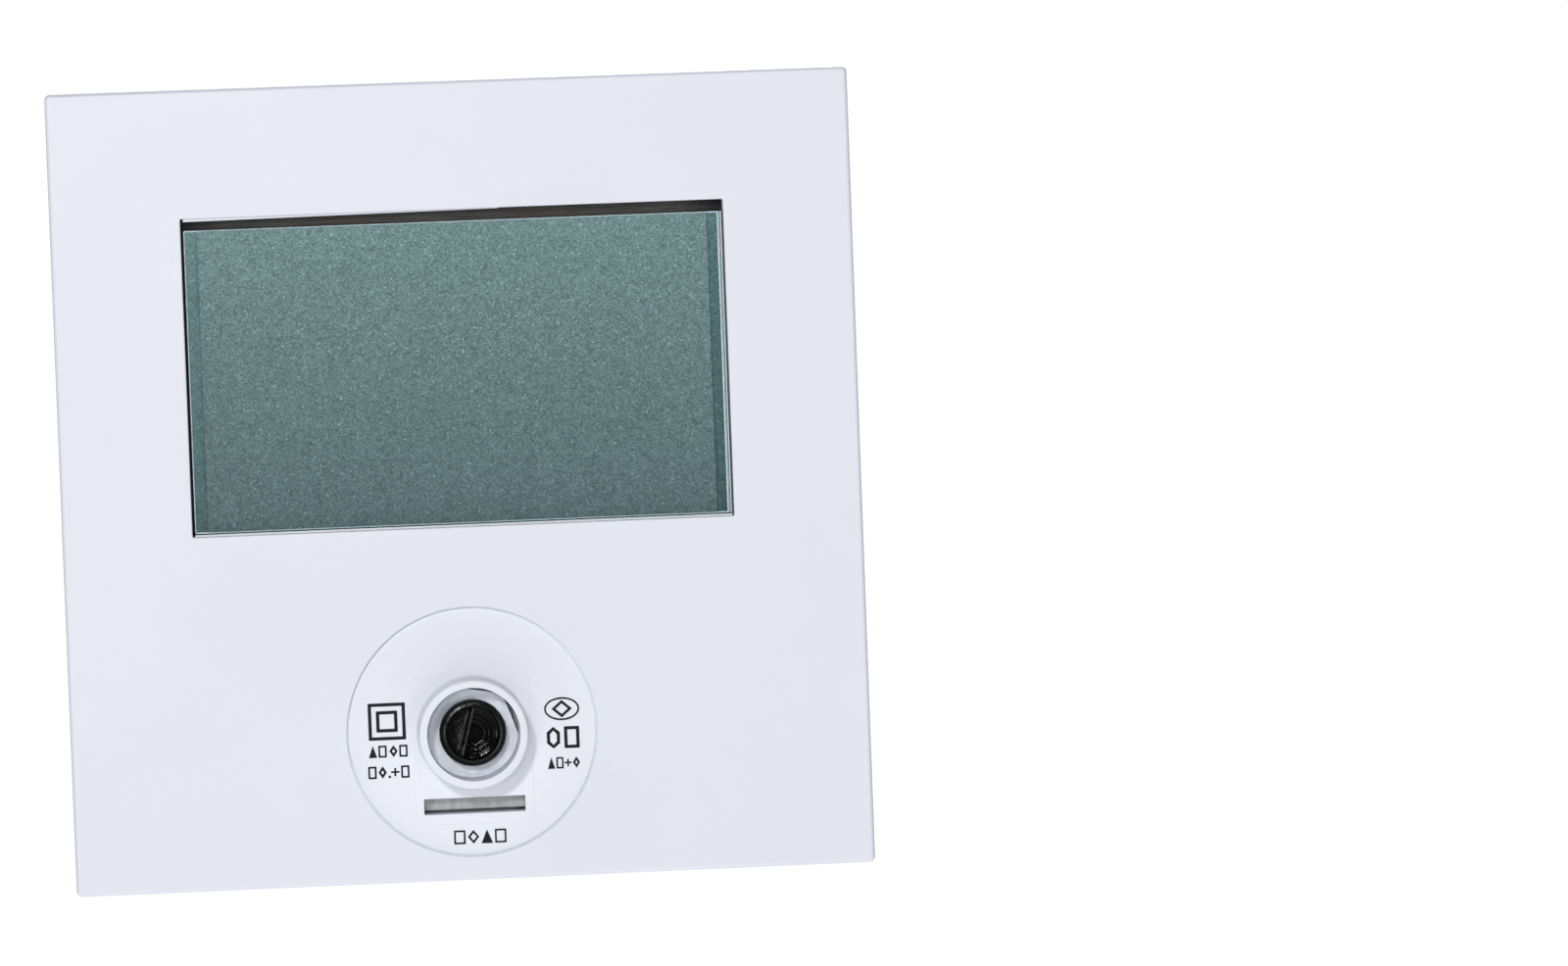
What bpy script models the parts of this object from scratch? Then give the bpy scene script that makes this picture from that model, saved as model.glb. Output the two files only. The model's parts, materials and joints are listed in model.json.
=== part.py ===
"""Room thermostat for floor heating, for mounting on a wall box, with its knob pulled off.

X runs across the plate, Z up it, and the wall lies behind it at Y = 0, so the front faces -Y.
Places in depth are given as a distance out from the wall, which is -Y.
"""

import math

import bmesh
import bpy
from mathutils import Matrix, Vector

MM = 0.001

# Plate and casing
PLATE = 86 * MM
FRONT = 24 * MM
COVER_REAR = 0.6 * MM
WALL = 2.0 * MM
FRONT_WALL = 1.8 * MM
EDGE_ROUND = 0.6 * MM
COVER_INSIDE = PLATE / 2 - WALL
INSIDE_FRONT = FRONT - FRONT_WALL

# Display window in the plate, and the glass behind it
WINDOW_X = 29.1 * MM
WINDOW_LOW = -4.9 * MM
WINDOW_HIGH = 29.2 * MM
GLASS_X = 28.8 * MM
GLASS_LOW = -4.6 * MM
GLASS_HIGH = 27.9 * MM
LEDGE = 2.1 * MM
FILM_X = GLASS_X - 1.4 * MM
FILM_INSET = 0.15 * MM

# Knob seat: shallow round recess, raised collar and the shaft inside it
KNOB_Z = -27 * MM
DISC_RADIUS = 13.5 * MM
DISC_DEPTH = 0.35 * MM
DISC_GROOVE = 0.2 * MM
COLLAR_RADIUS = 5.85 * MM
COLLAR_BORE = 5.0 * MM
COLLAR_FRONT = 28 * MM
COLLAR_EDGE = 0.25 * MM
COLLAR_FOOT = 0.6 * MM
HEAD_RADIUS = 3.6 * MM
HEAD_FRONT = 26 * MM
HEAD_REAR = 24.7 * MM
SOCKET_RADIUS = 3.05 * MM
SOCKET_DEPTH = 0.95 * MM
KEY_DEPTH = 0.25 * MM
KEY_OFFSET = -0.45 * MM
KEY_LEAN = math.radians(12)
STEM_RADIUS = 2.0 * MM
STEM_REAR = 17.1 * MM

# Encoder under the knob
ENCODER_HALF = 5.85 * MM
ENCODER_FRONT = 20.0 * MM
BUSHING_REAR = 20.3 * MM
BUSHING_FRONT = 24.0 * MM
BUSHING_RADIUS = 3.0 * MM
NUT_FLATS = 9.0 * MM
NUT_CORNER_RADIUS = 4.75 * MM
NUT_REAR = 22.3 * MM
NUT_TURN = math.radians(-20)

# Release slot and the latch behind it
SLOT_X = 5.45 * MM
SLOT_LOW = -35.8 * MM
SLOT_HIGH = -34.1 * MM
LATCH_X = 5.15 * MM
LATCH_LOW = -35.5 * MM
LATCH_HIGH = -34.1 * MM
LATCH_FRONT = 21.9 * MM
LATCH_REAR = 2.5 * MM
LATCH_NOSE = 0.9 * MM
LATCH_TIP_X = 5.75 * MM
LATCH_TIP_REAR = 20.8 * MM
NOSE_REAR = 18.6 * MM
NOSE_FRONT = 20.2 * MM

# Base, inner chassis and circuit board
BASE_HALF = 40.7 * MM
BASE_FLOOR = 2.2 * MM
BASE_RIM = 5.0 * MM
BASE_WALL = 1.6 * MM
CHASSIS_HALF = 38.8 * MM
CHASSIS_WALL = 1.4 * MM
CHASSIS_REAR = 2.5 * MM
CHASSIS_FRONT = 21.3 * MM
CHASSIS_PLATE = 1.0 * MM
BOARD_REAR = 13.6 * MM
BOARD_FRONT = 15.2 * MM
BOARD_X = 31.0 * MM
BOARD_LOW = -33.0 * MM
BOARD_HIGH = 34.8 * MM
SEAT_REAR = 13.3 * MM
SEAT_FRONT = 15.5 * MM
BOX_SCREW_X = 30 * MM
BOX_SLOT = (8 * MM, 4.2 * MM)
CORNER = 34.6 * MM
BOARD_SCREW_X = 29.2 * MM
BOARD_SCREWS = [(x, z) for z in (-30.8 * MM, 32.6 * MM) for x in (-BOARD_SCREW_X, BOARD_SCREW_X)]
CORNERS = [(x, z) for z in (-CORNER, CORNER) for x in (-CORNER, CORNER)]

# Cable entry through the base, and the terminals above it
ENTRY_X = 14 * MM
ENTRY_LOW = -22 * MM
ENTRY_HIGH = -4 * MM
TERMINALS = 6
TERMINAL_PITCH = 8.2 * MM
BLOCK_X = 25 * MM
BLOCK_LOW = 0.5 * MM
BLOCK_HIGH = 13.5 * MM
BLOCK_REAR = 3.0 * MM
SCREW_Z = 5.5 * MM

# Air vents in the top and bottom walls
VENTS = 9
VENT_PITCH = 6 * MM
VENT_WIDTH = 1.8 * MM
VENT_REAR = 8 * MM
VENT_FRONT = 18 * MM

SIDES = 32
SMALL_SIDES = 20
PAST = 1.0 * MM


def new_collection(name):
    collection = bpy.data.collections.new(name)
    bpy.context.scene.collection.children.link(collection)
    return collection


for old in list(bpy.data.objects):
    bpy.data.objects.remove(old)
PARTS = new_collection("wall_thermostat")
CUTTERS = new_collection("cutters")


def material(name, colour, roughness, metallic=0.0, alpha=1.0):
    made = bpy.data.materials.new(name)
    made.use_nodes = True
    shader = made.node_tree.nodes["Principled BSDF"]
    shader.inputs["Base Color"].default_value = (*colour, 1.0)
    shader.inputs["Roughness"].default_value = roughness
    shader.inputs["Metallic"].default_value = metallic
    shader.inputs["Alpha"].default_value = alpha
    return made


COVER_WHITE = material("cover_white", (0.80, 0.81, 0.85), 0.38)
BASE_WHITE = material("base_white", (0.74, 0.75, 0.77), 0.5)
CHASSIS_GREY = material("chassis_grey", (0.62, 0.63, 0.65), 0.5)
BLACK = material("black_plastic", (0.012, 0.012, 0.013), 0.3)
GLASS = material("display_glass", (0.17, 0.28, 0.26), 0.12, alpha=0.5)
FILM = material("polarizer_film", (0.16, 0.26, 0.24), 0.25)
ACRYLIC = material("acrylic", (0.75, 0.82, 0.80), 0.15, alpha=0.6)
BOARD = material("board_green", (0.02, 0.16, 0.07), 0.35)
TERMINAL_GREEN = material("terminal_green", (0.05, 0.30, 0.12), 0.45)
STEEL = material("steel", (0.62, 0.63, 0.66), 0.3, metallic=1.0)
BRASS = material("brass", (0.75, 0.58, 0.28), 0.3, metallic=1.0)
RUBBER = material("conductive_rubber", (0.10, 0.10, 0.11), 0.7)
RELAY_BLUE = material("relay_blue", (0.03, 0.12, 0.42), 0.4)
FILM_YELLOW = material("capacitor_yellow", (0.70, 0.48, 0.06), 0.4)
VARISTOR_BLUE = material("varistor_blue", (0.04, 0.18, 0.55), 0.35)
SLEEVE_BLACK = material("sleeve_black", (0.03, 0.03, 0.05), 0.35)


def add(name, bm, mat=None, location=(0, 0, 0)):
    """An object made from a bmesh: a part if it has a material, otherwise a hidden cutter."""
    bmesh.ops.recalc_face_normals(bm, faces=bm.faces)
    mesh = bpy.data.meshes.new(name)
    bm.to_mesh(mesh)
    bm.free()
    obj = bpy.data.objects.new(name, mesh)
    obj.location = location
    if mat:
        mesh.materials.append(mat)
        PARTS.objects.link(obj)
    else:
        CUTTERS.objects.link(obj)
        obj.hide_render = True
        obj.display_type = "WIRE"
    return obj


def fill_block(bm, x, depth, z, centre):
    """Adds to bm the box between the low and high ends given for x, depth and z."""
    middle = Vector(((x[0] + x[1]) / 2, -(depth[0] + depth[1]) / 2, (z[0] + z[1]) / 2)) - Vector(centre)
    size = (x[1] - x[0], depth[1] - depth[0], z[1] - z[0])
    bmesh.ops.create_cube(bm, size=1, matrix=Matrix.Translation(middle) @ Matrix.Diagonal((*size, 1)))


def block(name, x, depth, z, mat=None, rounding=0.0, segments=2):
    """A box, its edges rounded where a rounding is given. Its origin is at its middle."""
    centre = ((x[0] + x[1]) / 2, -(depth[0] + depth[1]) / 2, (z[0] + z[1]) / 2)
    bm = bmesh.new()
    fill_block(bm, x, depth, z, centre)
    obj = add(name, bm, mat, centre)
    if rounding:
        bevel = obj.modifiers.new("rounding", "BEVEL")
        bevel.width = rounding
        bevel.segments = segments
    return obj


def blocks(name, boxes, mat=None):
    """Several separate boxes in one object, for cutting a row of openings at once."""
    bm = bmesh.new()
    for x, depth, z in boxes:
        fill_block(bm, x, depth, z, (0, 0, 0))
    return add(name, bm, mat)


def rod(name, radius, depth, x, z, mat=None, sides=SIDES):
    """A round bar square to the wall, between two depths."""
    bm = bmesh.new()
    bmesh.ops.create_cone(
        bm, cap_ends=True, segments=sides, radius1=radius, radius2=radius, depth=depth[1] - depth[0]
    )
    bmesh.ops.rotate(bm, matrix=Matrix.Rotation(math.pi / 2, 3, "X"), verts=bm.verts)
    return add(name, bm, mat, (x, -(depth[0] + depth[1]) / 2, z))


def rods(name, radius, depth, centres, sides=SMALL_SIDES):
    """A cutter with one round bar at each centre."""
    bm = bmesh.new()
    turn = Matrix.Rotation(math.pi / 2, 4, "X")
    for x, z in centres:
        place = Matrix.Translation((x, -(depth[0] + depth[1]) / 2, z)) @ turn
        long = depth[1] - depth[0]
        bmesh.ops.create_cone(
            bm, cap_ends=True, segments=sides, radius1=radius, radius2=radius, depth=long, matrix=place
        )
    return add(name, bm)


def turned(name, profile, x, z, mat=None, sides=SIDES, closed=False):
    """A shape turned about an axis square to the wall, from (radius, depth) points, front to rear."""
    bm = bmesh.new()
    points = [bm.verts.new((radius, 0, depth)) for radius, depth in profile]
    for first, second in zip(points, points[1:]):
        bm.edges.new((first, second))
    if closed:
        bm.edges.new((points[-1], points[0]))
    obj = add(name, bm, mat, (x, 0, z))
    obj.rotation_euler = (math.pi / 2, 0, 0)
    screw = obj.modifiers.new("turning", "SCREW")
    screw.steps = sides
    screw.render_steps = sides
    screw.use_merge_vertices = True
    screw.merge_threshold = 0.00001
    return obj


def ring(name, inner, outer, depth, x, z, mat, sides=SIDES):
    profile = [(inner, depth[1]), (outer, depth[1]), (outer, depth[0]), (inner, depth[0])]
    return turned(name, profile, x, z, mat, sides, closed=True)


def combine(obj, other, operation):
    boolean = obj.modifiers.new(f"{operation.lower()}_{other.name}"[:60], "BOOLEAN")
    boolean.operation = operation
    boolean.solver = "EXACT"
    boolean.object = other


def cut(obj, *cutters):
    for cutter in cutters:
        combine(obj, cutter, "DIFFERENCE")


def join(obj, *others):
    for other in others:
        combine(obj, other, "UNION")


def vents(name, side, start, end):
    """Cutters for the air slots in a top (side 1) or bottom (side -1) wall."""
    low, high = sorted((side * start, side * end))
    boxes = []
    for n in range(VENTS):
        middle = (n - (VENTS - 1) / 2) * VENT_PITCH
        across = (middle - VENT_WIDTH / 2, middle + VENT_WIDTH / 2)
        boxes.append((across, (VENT_REAR, VENT_FRONT), (low, high)))
    return blocks(name, boxes)


def half(extent):
    return (-extent, extent)


# ---------------------------------------------------------------- cover


def front_cover():
    """The plate and its side walls, with the window, knob recess, collar, slot and catch."""
    cover = block(
        "front_cover",
        half(PLATE / 2),
        (COVER_REAR, FRONT),
        half(PLATE / 2),
        COVER_WHITE,
        EDGE_ROUND,
        segments=3,
    )
    inside = block("cover_inside", half(COVER_INSIDE), (COVER_REAR - PAST, INSIDE_FRONT), half(COVER_INSIDE))
    window = block(
        "cover_window", half(WINDOW_X), (INSIDE_FRONT - PAST, FRONT + PAST), (WINDOW_LOW, WINDOW_HIGH)
    )
    floor = FRONT - DISC_DEPTH
    recess_profile = [
        (0, FRONT + PAST),
        (DISC_RADIUS, FRONT + PAST),
        (DISC_RADIUS, floor - DISC_GROOVE),
        (DISC_RADIUS - DISC_GROOVE, floor - DISC_GROOVE),
        (DISC_RADIUS - DISC_GROOVE, floor),
        (0, floor),
    ]
    recess = turned("cover_recess", recess_profile, 0, KNOB_Z, sides=64)
    collar_profile = [
        (0, COLLAR_FRONT),
        (COLLAR_RADIUS - COLLAR_EDGE, COLLAR_FRONT),
        (COLLAR_RADIUS, COLLAR_FRONT - COLLAR_EDGE),
        (COLLAR_RADIUS, floor + COLLAR_FOOT),
        (COLLAR_RADIUS + 0.3 * COLLAR_FOOT, floor + 0.3 * COLLAR_FOOT),
        (COLLAR_RADIUS + COLLAR_FOOT, floor),
        (COLLAR_RADIUS + COLLAR_FOOT, floor - COLLAR_FOOT),
        (0, floor - COLLAR_FOOT),
    ]
    collar = turned("cover_collar", collar_profile, 0, KNOB_Z, sides=48)
    bore = rod("cover_bore", COLLAR_BORE, (INSIDE_FRONT - PAST, COLLAR_FRONT + PAST), 0, KNOB_Z, sides=48)
    slot = block("cover_slot", half(SLOT_X), (INSIDE_FRONT - PAST, FRONT + PAST), (SLOT_LOW, SLOT_HIGH))
    catch = block(
        "cover_catch",
        half(SLOT_X + 0.5 * MM),
        (NOSE_REAR - 2.1 * MM, INSIDE_FRONT + 0.5 * MM),
        (LATCH_LOW - 1.4 * MM, LATCH_LOW - 0.3 * MM),
    )
    pocket = block(
        "cover_pocket",
        half(LATCH_X + 0.3 * MM),
        (NOSE_REAR - 0.3 * MM, NOSE_FRONT + 0.3 * MM),
        (LATCH_LOW - 2 * MM, LATCH_LOW),
    )
    cut(cover, inside, window, recess)
    join(cover, collar, catch)
    cut(cover, bore, slot, pocket)
    for side, label in ((1, "top"), (-1, "bottom")):
        cut(cover, vents(f"cover_vents_{label}", side, COVER_INSIDE - PAST, PLATE / 2 + PAST))


def release_latch():
    """A springy tongue that stands out from the base. Its nose holds the cover's catch.

    The tip is wider than the slot in the cover, so the slot shows no gap at its ends.
    """
    latch = block(
        "release_latch",
        half(LATCH_X),
        (LATCH_REAR + 0.4 * MM, LATCH_FRONT),
        (LATCH_LOW, LATCH_HIGH),
        BASE_WHITE,
    )
    foot = block(
        "latch_foot",
        half(LATCH_X + 0.4 * MM),
        (LATCH_REAR, LATCH_REAR + 1.6 * MM),
        (LATCH_LOW - 1.1 * MM, LATCH_HIGH + 0.7 * MM),
    )
    nose = block(
        "latch_nose",
        half(LATCH_X - 0.3 * MM),
        (NOSE_REAR, NOSE_FRONT),
        (LATCH_LOW - LATCH_NOSE, LATCH_LOW + PAST),
    )
    tip = block("latch_tip", half(LATCH_TIP_X), (LATCH_TIP_REAR, LATCH_FRONT), (LATCH_LOW, LATCH_HIGH))
    join(latch, foot, nose, tip)


# ---------------------------------------------------------------- base and chassis


def rear_base():
    """The tray screwed to the wall box, with its cable entry, box screw slots and chassis bosses."""
    base = block("rear_base", half(BASE_HALF), (0, BASE_RIM), half(BASE_HALF), BASE_WHITE)
    across = half(BASE_HALF - BASE_WALL)
    inside = block("base_inside", across, (BASE_FLOOR, BASE_RIM + PAST), across)
    entry = block("base_entry", half(ENTRY_X), (-PAST, BASE_FLOOR + PAST), (ENTRY_LOW, ENTRY_HIGH))
    through = (-PAST, BASE_FLOOR + PAST)
    long, short = BOX_SLOT[0] / 2, BOX_SLOT[1] / 2
    slots = blocks(
        "base_box_slots",
        [
            ((-BOX_SCREW_X - long, -BOX_SCREW_X + long), through, half(short)),
            ((BOX_SCREW_X - short, BOX_SCREW_X + short), through, half(long)),
        ],
    )
    cut(base, inside, entry, slots)
    for number, (x, z) in enumerate(CORNERS, 1):
        join(base, rod(f"base_boss_{number}", 2.5 * MM, (1.1 * MM, 10.2 * MM), x, z, sides=SMALL_SIDES))
    cut(base, rods("base_pilots", 1.3 * MM, (3.5 * MM, 11 * MM), CORNERS))


def inner_chassis():
    """The casing round the board, left in place when the cover comes off."""
    chassis = block(
        "inner_chassis",
        half(CHASSIS_HALF),
        (CHASSIS_REAR, CHASSIS_FRONT),
        half(CHASSIS_HALF),
        CHASSIS_GREY,
        0.5 * MM,
    )
    wall_inside = CHASSIS_HALF - CHASSIS_WALL
    plate_rear = CHASSIS_FRONT - CHASSIS_PLATE
    inside = block("chassis_inside", half(wall_inside), (CHASSIS_REAR - PAST, plate_rear), half(wall_inside))
    window = block(
        "chassis_window",
        half(GLASS_X + 0.4 * MM),
        (plate_rear - PAST, CHASSIS_FRONT + PAST),
        (GLASS_LOW - 0.4 * MM, GLASS_HIGH + 0.6 * MM),
    )
    bushing_hole = rod("chassis_bushing_hole", 3.3 * MM, (plate_rear - PAST, CHASSIS_FRONT + PAST), 0, KNOB_Z)
    notch = block(
        "chassis_latch_notch",
        half(6.4 * MM),
        (plate_rear - PAST, CHASSIS_FRONT + PAST),
        (LATCH_LOW - 1.7 * MM, LATCH_HIGH + 1.4 * MM),
    )
    cut(chassis, inside, window, bushing_hole, notch)
    for number, (x, z) in enumerate(CORNERS, 1):
        post = rod(f"chassis_post_{number}", 3.3 * MM, (10.5 * MM, plate_rear + 0.5 * MM), x, z, sides=24)
        join(chassis, post)
    for number, (x, z) in enumerate(BOARD_SCREWS, 1):
        depth = (SEAT_FRONT, plate_rear + 0.5 * MM)
        join(chassis, rod(f"board_post_{number}", 1.9 * MM, depth, x, z, sides=SMALL_SIDES))
    cut(chassis, rods("chassis_screw_holes", 1.45 * MM, (9 * MM, FRONT), CORNERS))
    cut(chassis, rods("chassis_counterbores", 2.5 * MM, (14.1 * MM, FRONT), CORNERS))
    cut(chassis, rods("board_pilots", 1.1 * MM, (SEAT_FRONT - PAST, 19.5 * MM), BOARD_SCREWS))
    for side, label in ((1, "top"), (-1, "bottom")):
        cut(chassis, vents(f"chassis_vents_{label}", side, wall_inside - 0.3 * MM, CHASSIS_HALF + PAST))


def cross_recess(name, radius, depth, x, z):
    """A crossed driving recess, as two thin cutters."""
    long, thin = radius * 0.6, radius * 0.16
    first = block(f"{name}_recess_a", (x - long, x + long), depth, (z - thin, z + thin))
    second = block(f"{name}_recess_b", (x - thin, x + thin), depth, (z - long, z + long))
    return first, second


def chassis_screws():
    for number, (x, z) in enumerate(CORNERS, 1):
        name = f"chassis_screw_{number}"
        profile = [
            (0, 15.8 * MM),
            (1.7 * MM, 15.8 * MM),
            (2.2 * MM, 15.3 * MM),
            (2.2 * MM, 14.4 * MM),
            (1.1 * MM, 14.4 * MM),
            (1.1 * MM, 5.4 * MM),
            (0, 4.4 * MM),
        ]
        screw = turned(name, profile, x, z, STEEL, sides=SMALL_SIDES)
        cut(screw, *cross_recess(name, 2.2 * MM, (15.1 * MM, 17 * MM), x, z))


def board_screws():
    for number, (x, z) in enumerate(BOARD_SCREWS, 1):
        name = f"board_screw_{number}"
        profile = [
            (0, 18.8 * MM),
            (0.9 * MM, 18.0 * MM),
            (0.9 * MM, SEAT_REAR),
            (1.9 * MM, SEAT_REAR),
            (1.9 * MM, SEAT_REAR - 0.7 * MM),
            (1.5 * MM, SEAT_REAR - 1.2 * MM),
            (0, SEAT_REAR - 1.2 * MM),
        ]
        screw = turned(name, profile, x, z, STEEL, sides=16)
        cut(screw, *cross_recess(name, 1.9 * MM, (SEAT_REAR - 2 * MM, SEAT_REAR - 0.6 * MM), x, z))


# ---------------------------------------------------------------- display


def display():
    """The liquid-crystal cell and its polarizers, with its light guide, frame and contact strip."""
    glass = (GLASS_LOW, GLASS_HIGH)
    block(
        "lcd_front_polarizer",
        half(FILM_X),
        (22.48 * MM, 22.68 * MM),
        (GLASS_LOW + FILM_INSET, GLASS_HIGH - FILM_INSET),
        FILM,
    )
    block("lcd_front_glass", half(GLASS_X), (21.7 * MM, 22.4 * MM), glass, GLASS)
    block("lcd_rear_glass", half(GLASS_X), (20.9 * MM, 21.6 * MM), (GLASS_LOW, GLASS_HIGH - LEDGE), GLASS)
    block(
        "lcd_rear_polarizer",
        half(FILM_X),
        (20.62 * MM, 20.8 * MM),
        (GLASS_LOW + 0.6 * MM, GLASS_HIGH - LEDGE - 0.6 * MM),
        FILM,
    )
    block(
        "backlight_guide",
        half(GLASS_X - 0.1 * MM),
        (17.0 * MM, 20.5 * MM),
        (GLASS_LOW, GLASS_HIGH - LEDGE - 0.2 * MM),
        ACRYLIC,
        0.3 * MM,
    )
    block("zebra_strip", half(25 * MM), (SEAT_FRONT - 0.1 * MM, 21.6 * MM), (26.3 * MM, 27.9 * MM), RUBBER)
    frame = block(
        "lcd_frame",
        half(30.3 * MM),
        (SEAT_FRONT, 20.0 * MM),
        (GLASS_LOW - 2 * MM, GLASS_HIGH + 2 * MM),
        CHASSIS_GREY,
    )
    well = block(
        "lcd_frame_well",
        half(GLASS_X + 0.2 * MM),
        (16.7 * MM, 20.0 * MM + PAST),
        (GLASS_LOW - 0.3 * MM, GLASS_HIGH + 0.3 * MM),
    )
    contact_slot = block(
        "lcd_frame_contact_slot", half(25.4 * MM), (SEAT_FRONT - PAST, 18 * MM), (26.0 * MM, 28.2 * MM)
    )
    light_z = 12 * MM
    cut(frame, well, contact_slot)
    for number, x in enumerate((-15 * MM, 15 * MM), 1):
        opening = block(
            f"lcd_frame_light_{number}",
            (x - 2.1 * MM, x + 2.1 * MM),
            (SEAT_FRONT - PAST, 18 * MM),
            (light_z - 1.9 * MM, light_z + 1.9 * MM),
        )
        cut(frame, opening)
        block(
            f"backlight_led_{number}",
            (x - 1.6 * MM, x + 1.6 * MM),
            (SEAT_FRONT - 0.1 * MM, SEAT_FRONT + 0.9 * MM),
            (light_z - 1.4 * MM, light_z + 1.4 * MM),
            ACRYLIC,
            0.2 * MM,
        )


# ---------------------------------------------------------------- encoder under the knob


def encoder():
    """The encoder's can and bushing, the parts that turn and press inside it, and its nut."""
    body = block(
        "encoder_body",
        half(ENCODER_HALF),
        (SEAT_FRONT, ENCODER_FRONT),
        (KNOB_Z - ENCODER_HALF, KNOB_Z + ENCODER_HALF),
        STEEL,
        0.3 * MM,
    )
    cavity = rod("encoder_cavity", 4.6 * MM, (16.0 * MM, 19.2 * MM), 0, KNOB_Z)
    throat = rod("encoder_throat", 2.6 * MM, (19.0 * MM, 21 * MM), 0, KNOB_Z)
    cut(body, cavity, throat)
    ring("encoder_bushing", 2.1 * MM, BUSHING_RADIUS, (BUSHING_REAR, BUSHING_FRONT), 0, KNOB_Z, BRASS)
    ring("encoder_washer", 3.25 * MM, 4.7 * MM, (21.6 * MM, 22.0 * MM), 0, KNOB_Z, STEEL)
    encoder_nut()
    ring("encoder_rotor", 2.25 * MM, 4.3 * MM, (17.2 * MM, 18.2 * MM), 0, KNOB_Z, BASE_WHITE)
    ring("shaft_circlip", 2.1 * MM, 3.4 * MM, (18.85 * MM, 19.1 * MM), 0, KNOB_Z, STEEL, sides=SMALL_SIDES)
    rod("encoder_plunger", 2.0 * MM, (16.8 * MM, 17.0 * MM), 0, KNOB_Z, BASE_WHITE, sides=SMALL_SIDES)
    dome = [
        (0, 16.22 * MM),
        (1.2 * MM, 16.22 * MM),
        (2.6 * MM, 16.14 * MM),
        (2.6 * MM, 16.06 * MM),
        (0, 16.06 * MM),
    ]
    turned("switch_dome", dome, 0, KNOB_Z, STEEL, sides=SMALL_SIDES)
    encoder_shaft()


def encoder_nut():
    """The hexagon nut on the bushing, its corners turned off to clear the collar."""
    across_corners = NUT_FLATS / math.cos(math.pi / 6) / 2
    nut = rod("encoder_nut", across_corners, (NUT_REAR, BUSHING_FRONT), 0, KNOB_Z, STEEL, sides=6)
    nut.rotation_euler = (0, NUT_TURN, 0)
    past_ends = (NUT_REAR - PAST, BUSHING_FRONT + PAST)
    combine(nut, rod("nut_corners", NUT_CORNER_RADIUS, past_ends, 0, KNOB_Z, sides=48), "INTERSECT")
    cut(nut, rod("nut_bore", BUSHING_RADIUS + 0.25 * MM, past_ends, 0, KNOB_Z))


def encoder_shaft():
    """The black shaft end that the knob pushes onto: a round head with a keyed socket, on a plain stem."""
    profile = [
        (0, HEAD_FRONT),
        (HEAD_RADIUS - 0.2 * MM, HEAD_FRONT),
        (HEAD_RADIUS, HEAD_FRONT - 0.2 * MM),
        (HEAD_RADIUS, HEAD_REAR),
        (STEM_RADIUS, HEAD_REAR),
        (STEM_RADIUS, STEM_REAR),
        (0, STEM_REAR),
    ]
    shaft = turned("encoder_shaft", profile, 0, KNOB_Z, BLACK, sides=40)
    shallow = rod("socket_rim", SOCKET_RADIUS, (HEAD_FRONT - KEY_DEPTH, HEAD_FRONT + PAST), 0, KNOB_Z)
    socket = rod("socket", SOCKET_RADIUS, (HEAD_FRONT - SOCKET_DEPTH, HEAD_FRONT + PAST), 0, KNOB_Z)
    key = block(
        "socket_key",
        (KEY_OFFSET - 4 * MM, KEY_OFFSET),
        (HEAD_REAR, HEAD_FRONT + 2 * PAST),
        (KNOB_Z - 4 * MM, KNOB_Z + 4 * MM),
    )
    spin = Matrix.Rotation(KEY_LEAN, 4, "Y")
    centre = Vector((0, 0, KNOB_Z))
    key.location = centre + spin.to_3x3() @ (key.location - centre)
    key.rotation_euler = (0, KEY_LEAN, 0)
    cut(socket, key)
    cut(shaft, shallow, socket)


# ---------------------------------------------------------------- board and what is soldered to it


def board():
    plate = block("main_pcb", half(BOARD_X), (BOARD_REAR, BOARD_FRONT), (BOARD_LOW, BOARD_HIGH), BOARD)
    cut(plate, rods("pcb_screw_holes", 1.3 * MM, (BOARD_REAR - PAST, BOARD_FRONT + PAST), BOARD_SCREWS))


def terminals():
    """The screw terminals: wires go in from below, and the screws face the wall side."""
    body = block(
        "terminal_block", half(BLOCK_X), (BLOCK_REAR, SEAT_REAR), (BLOCK_LOW, BLOCK_HIGH), TERMINAL_GREEN
    )
    places = [(n - (TERMINALS - 1) / 2) * TERMINAL_PITCH for n in range(TERMINALS)]
    wells = [(x, SCREW_Z) for x in places]
    entry_depth, entry_z = (7.4 * MM, 11.8 * MM), (BLOCK_LOW - PAST, BLOCK_LOW + 9.5 * MM)
    entries = [((x - 2.3 * MM, x + 2.3 * MM), entry_depth, entry_z) for x in places]
    cut(body, rods("terminal_wells", 2.3 * MM, (BLOCK_REAR - PAST, 6.5 * MM), wells, SMALL_SIDES))
    cut(body, rods("terminal_holes", 1.6 * MM, (6 * MM, 8 * MM), wells, SMALL_SIDES))
    cut(body, blocks("terminal_entries", entries))
    for number, x in enumerate(places, 1):
        profile = [
            (0, 9.0 * MM),
            (1.3 * MM, 9.0 * MM),
            (1.3 * MM, 6.2 * MM),
            (2.0 * MM, 6.2 * MM),
            (2.0 * MM, 4.3 * MM),
            (0, 4.3 * MM),
        ]
        screw = turned(f"terminal_screw_{number}", profile, x, SCREW_Z, STEEL, sides=16)
        slot = block(
            f"terminal_screw_slot_{number}",
            (x - 3 * MM, x + 3 * MM),
            (3.5 * MM, 5.0 * MM),
            (SCREW_Z - 0.3 * MM, SCREW_Z + 0.3 * MM),
        )
        cut(screw, slot)
        block(
            f"terminal_clamp_{number}",
            (x - 1.9 * MM, x + 1.9 * MM),
            (9.3 * MM, 10.1 * MM),
            (SCREW_Z - 3.2 * MM, SCREW_Z + 3.2 * MM),
            BRASS,
            0.2 * MM,
        )


def cross_rod(name, radius, x, depth, z, mat, sides=SMALL_SIDES):
    """A round bar that runs across, along X."""
    bm = bmesh.new()
    bmesh.ops.create_cone(
        bm, cap_ends=True, segments=sides, radius1=radius, radius2=radius, depth=x[1] - x[0]
    )
    bmesh.ops.rotate(bm, matrix=Matrix.Rotation(math.pi / 2, 3, "Y"), verts=bm.verts)
    return add(name, bm, mat, ((x[0] + x[1]) / 2, -depth, z))


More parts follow.
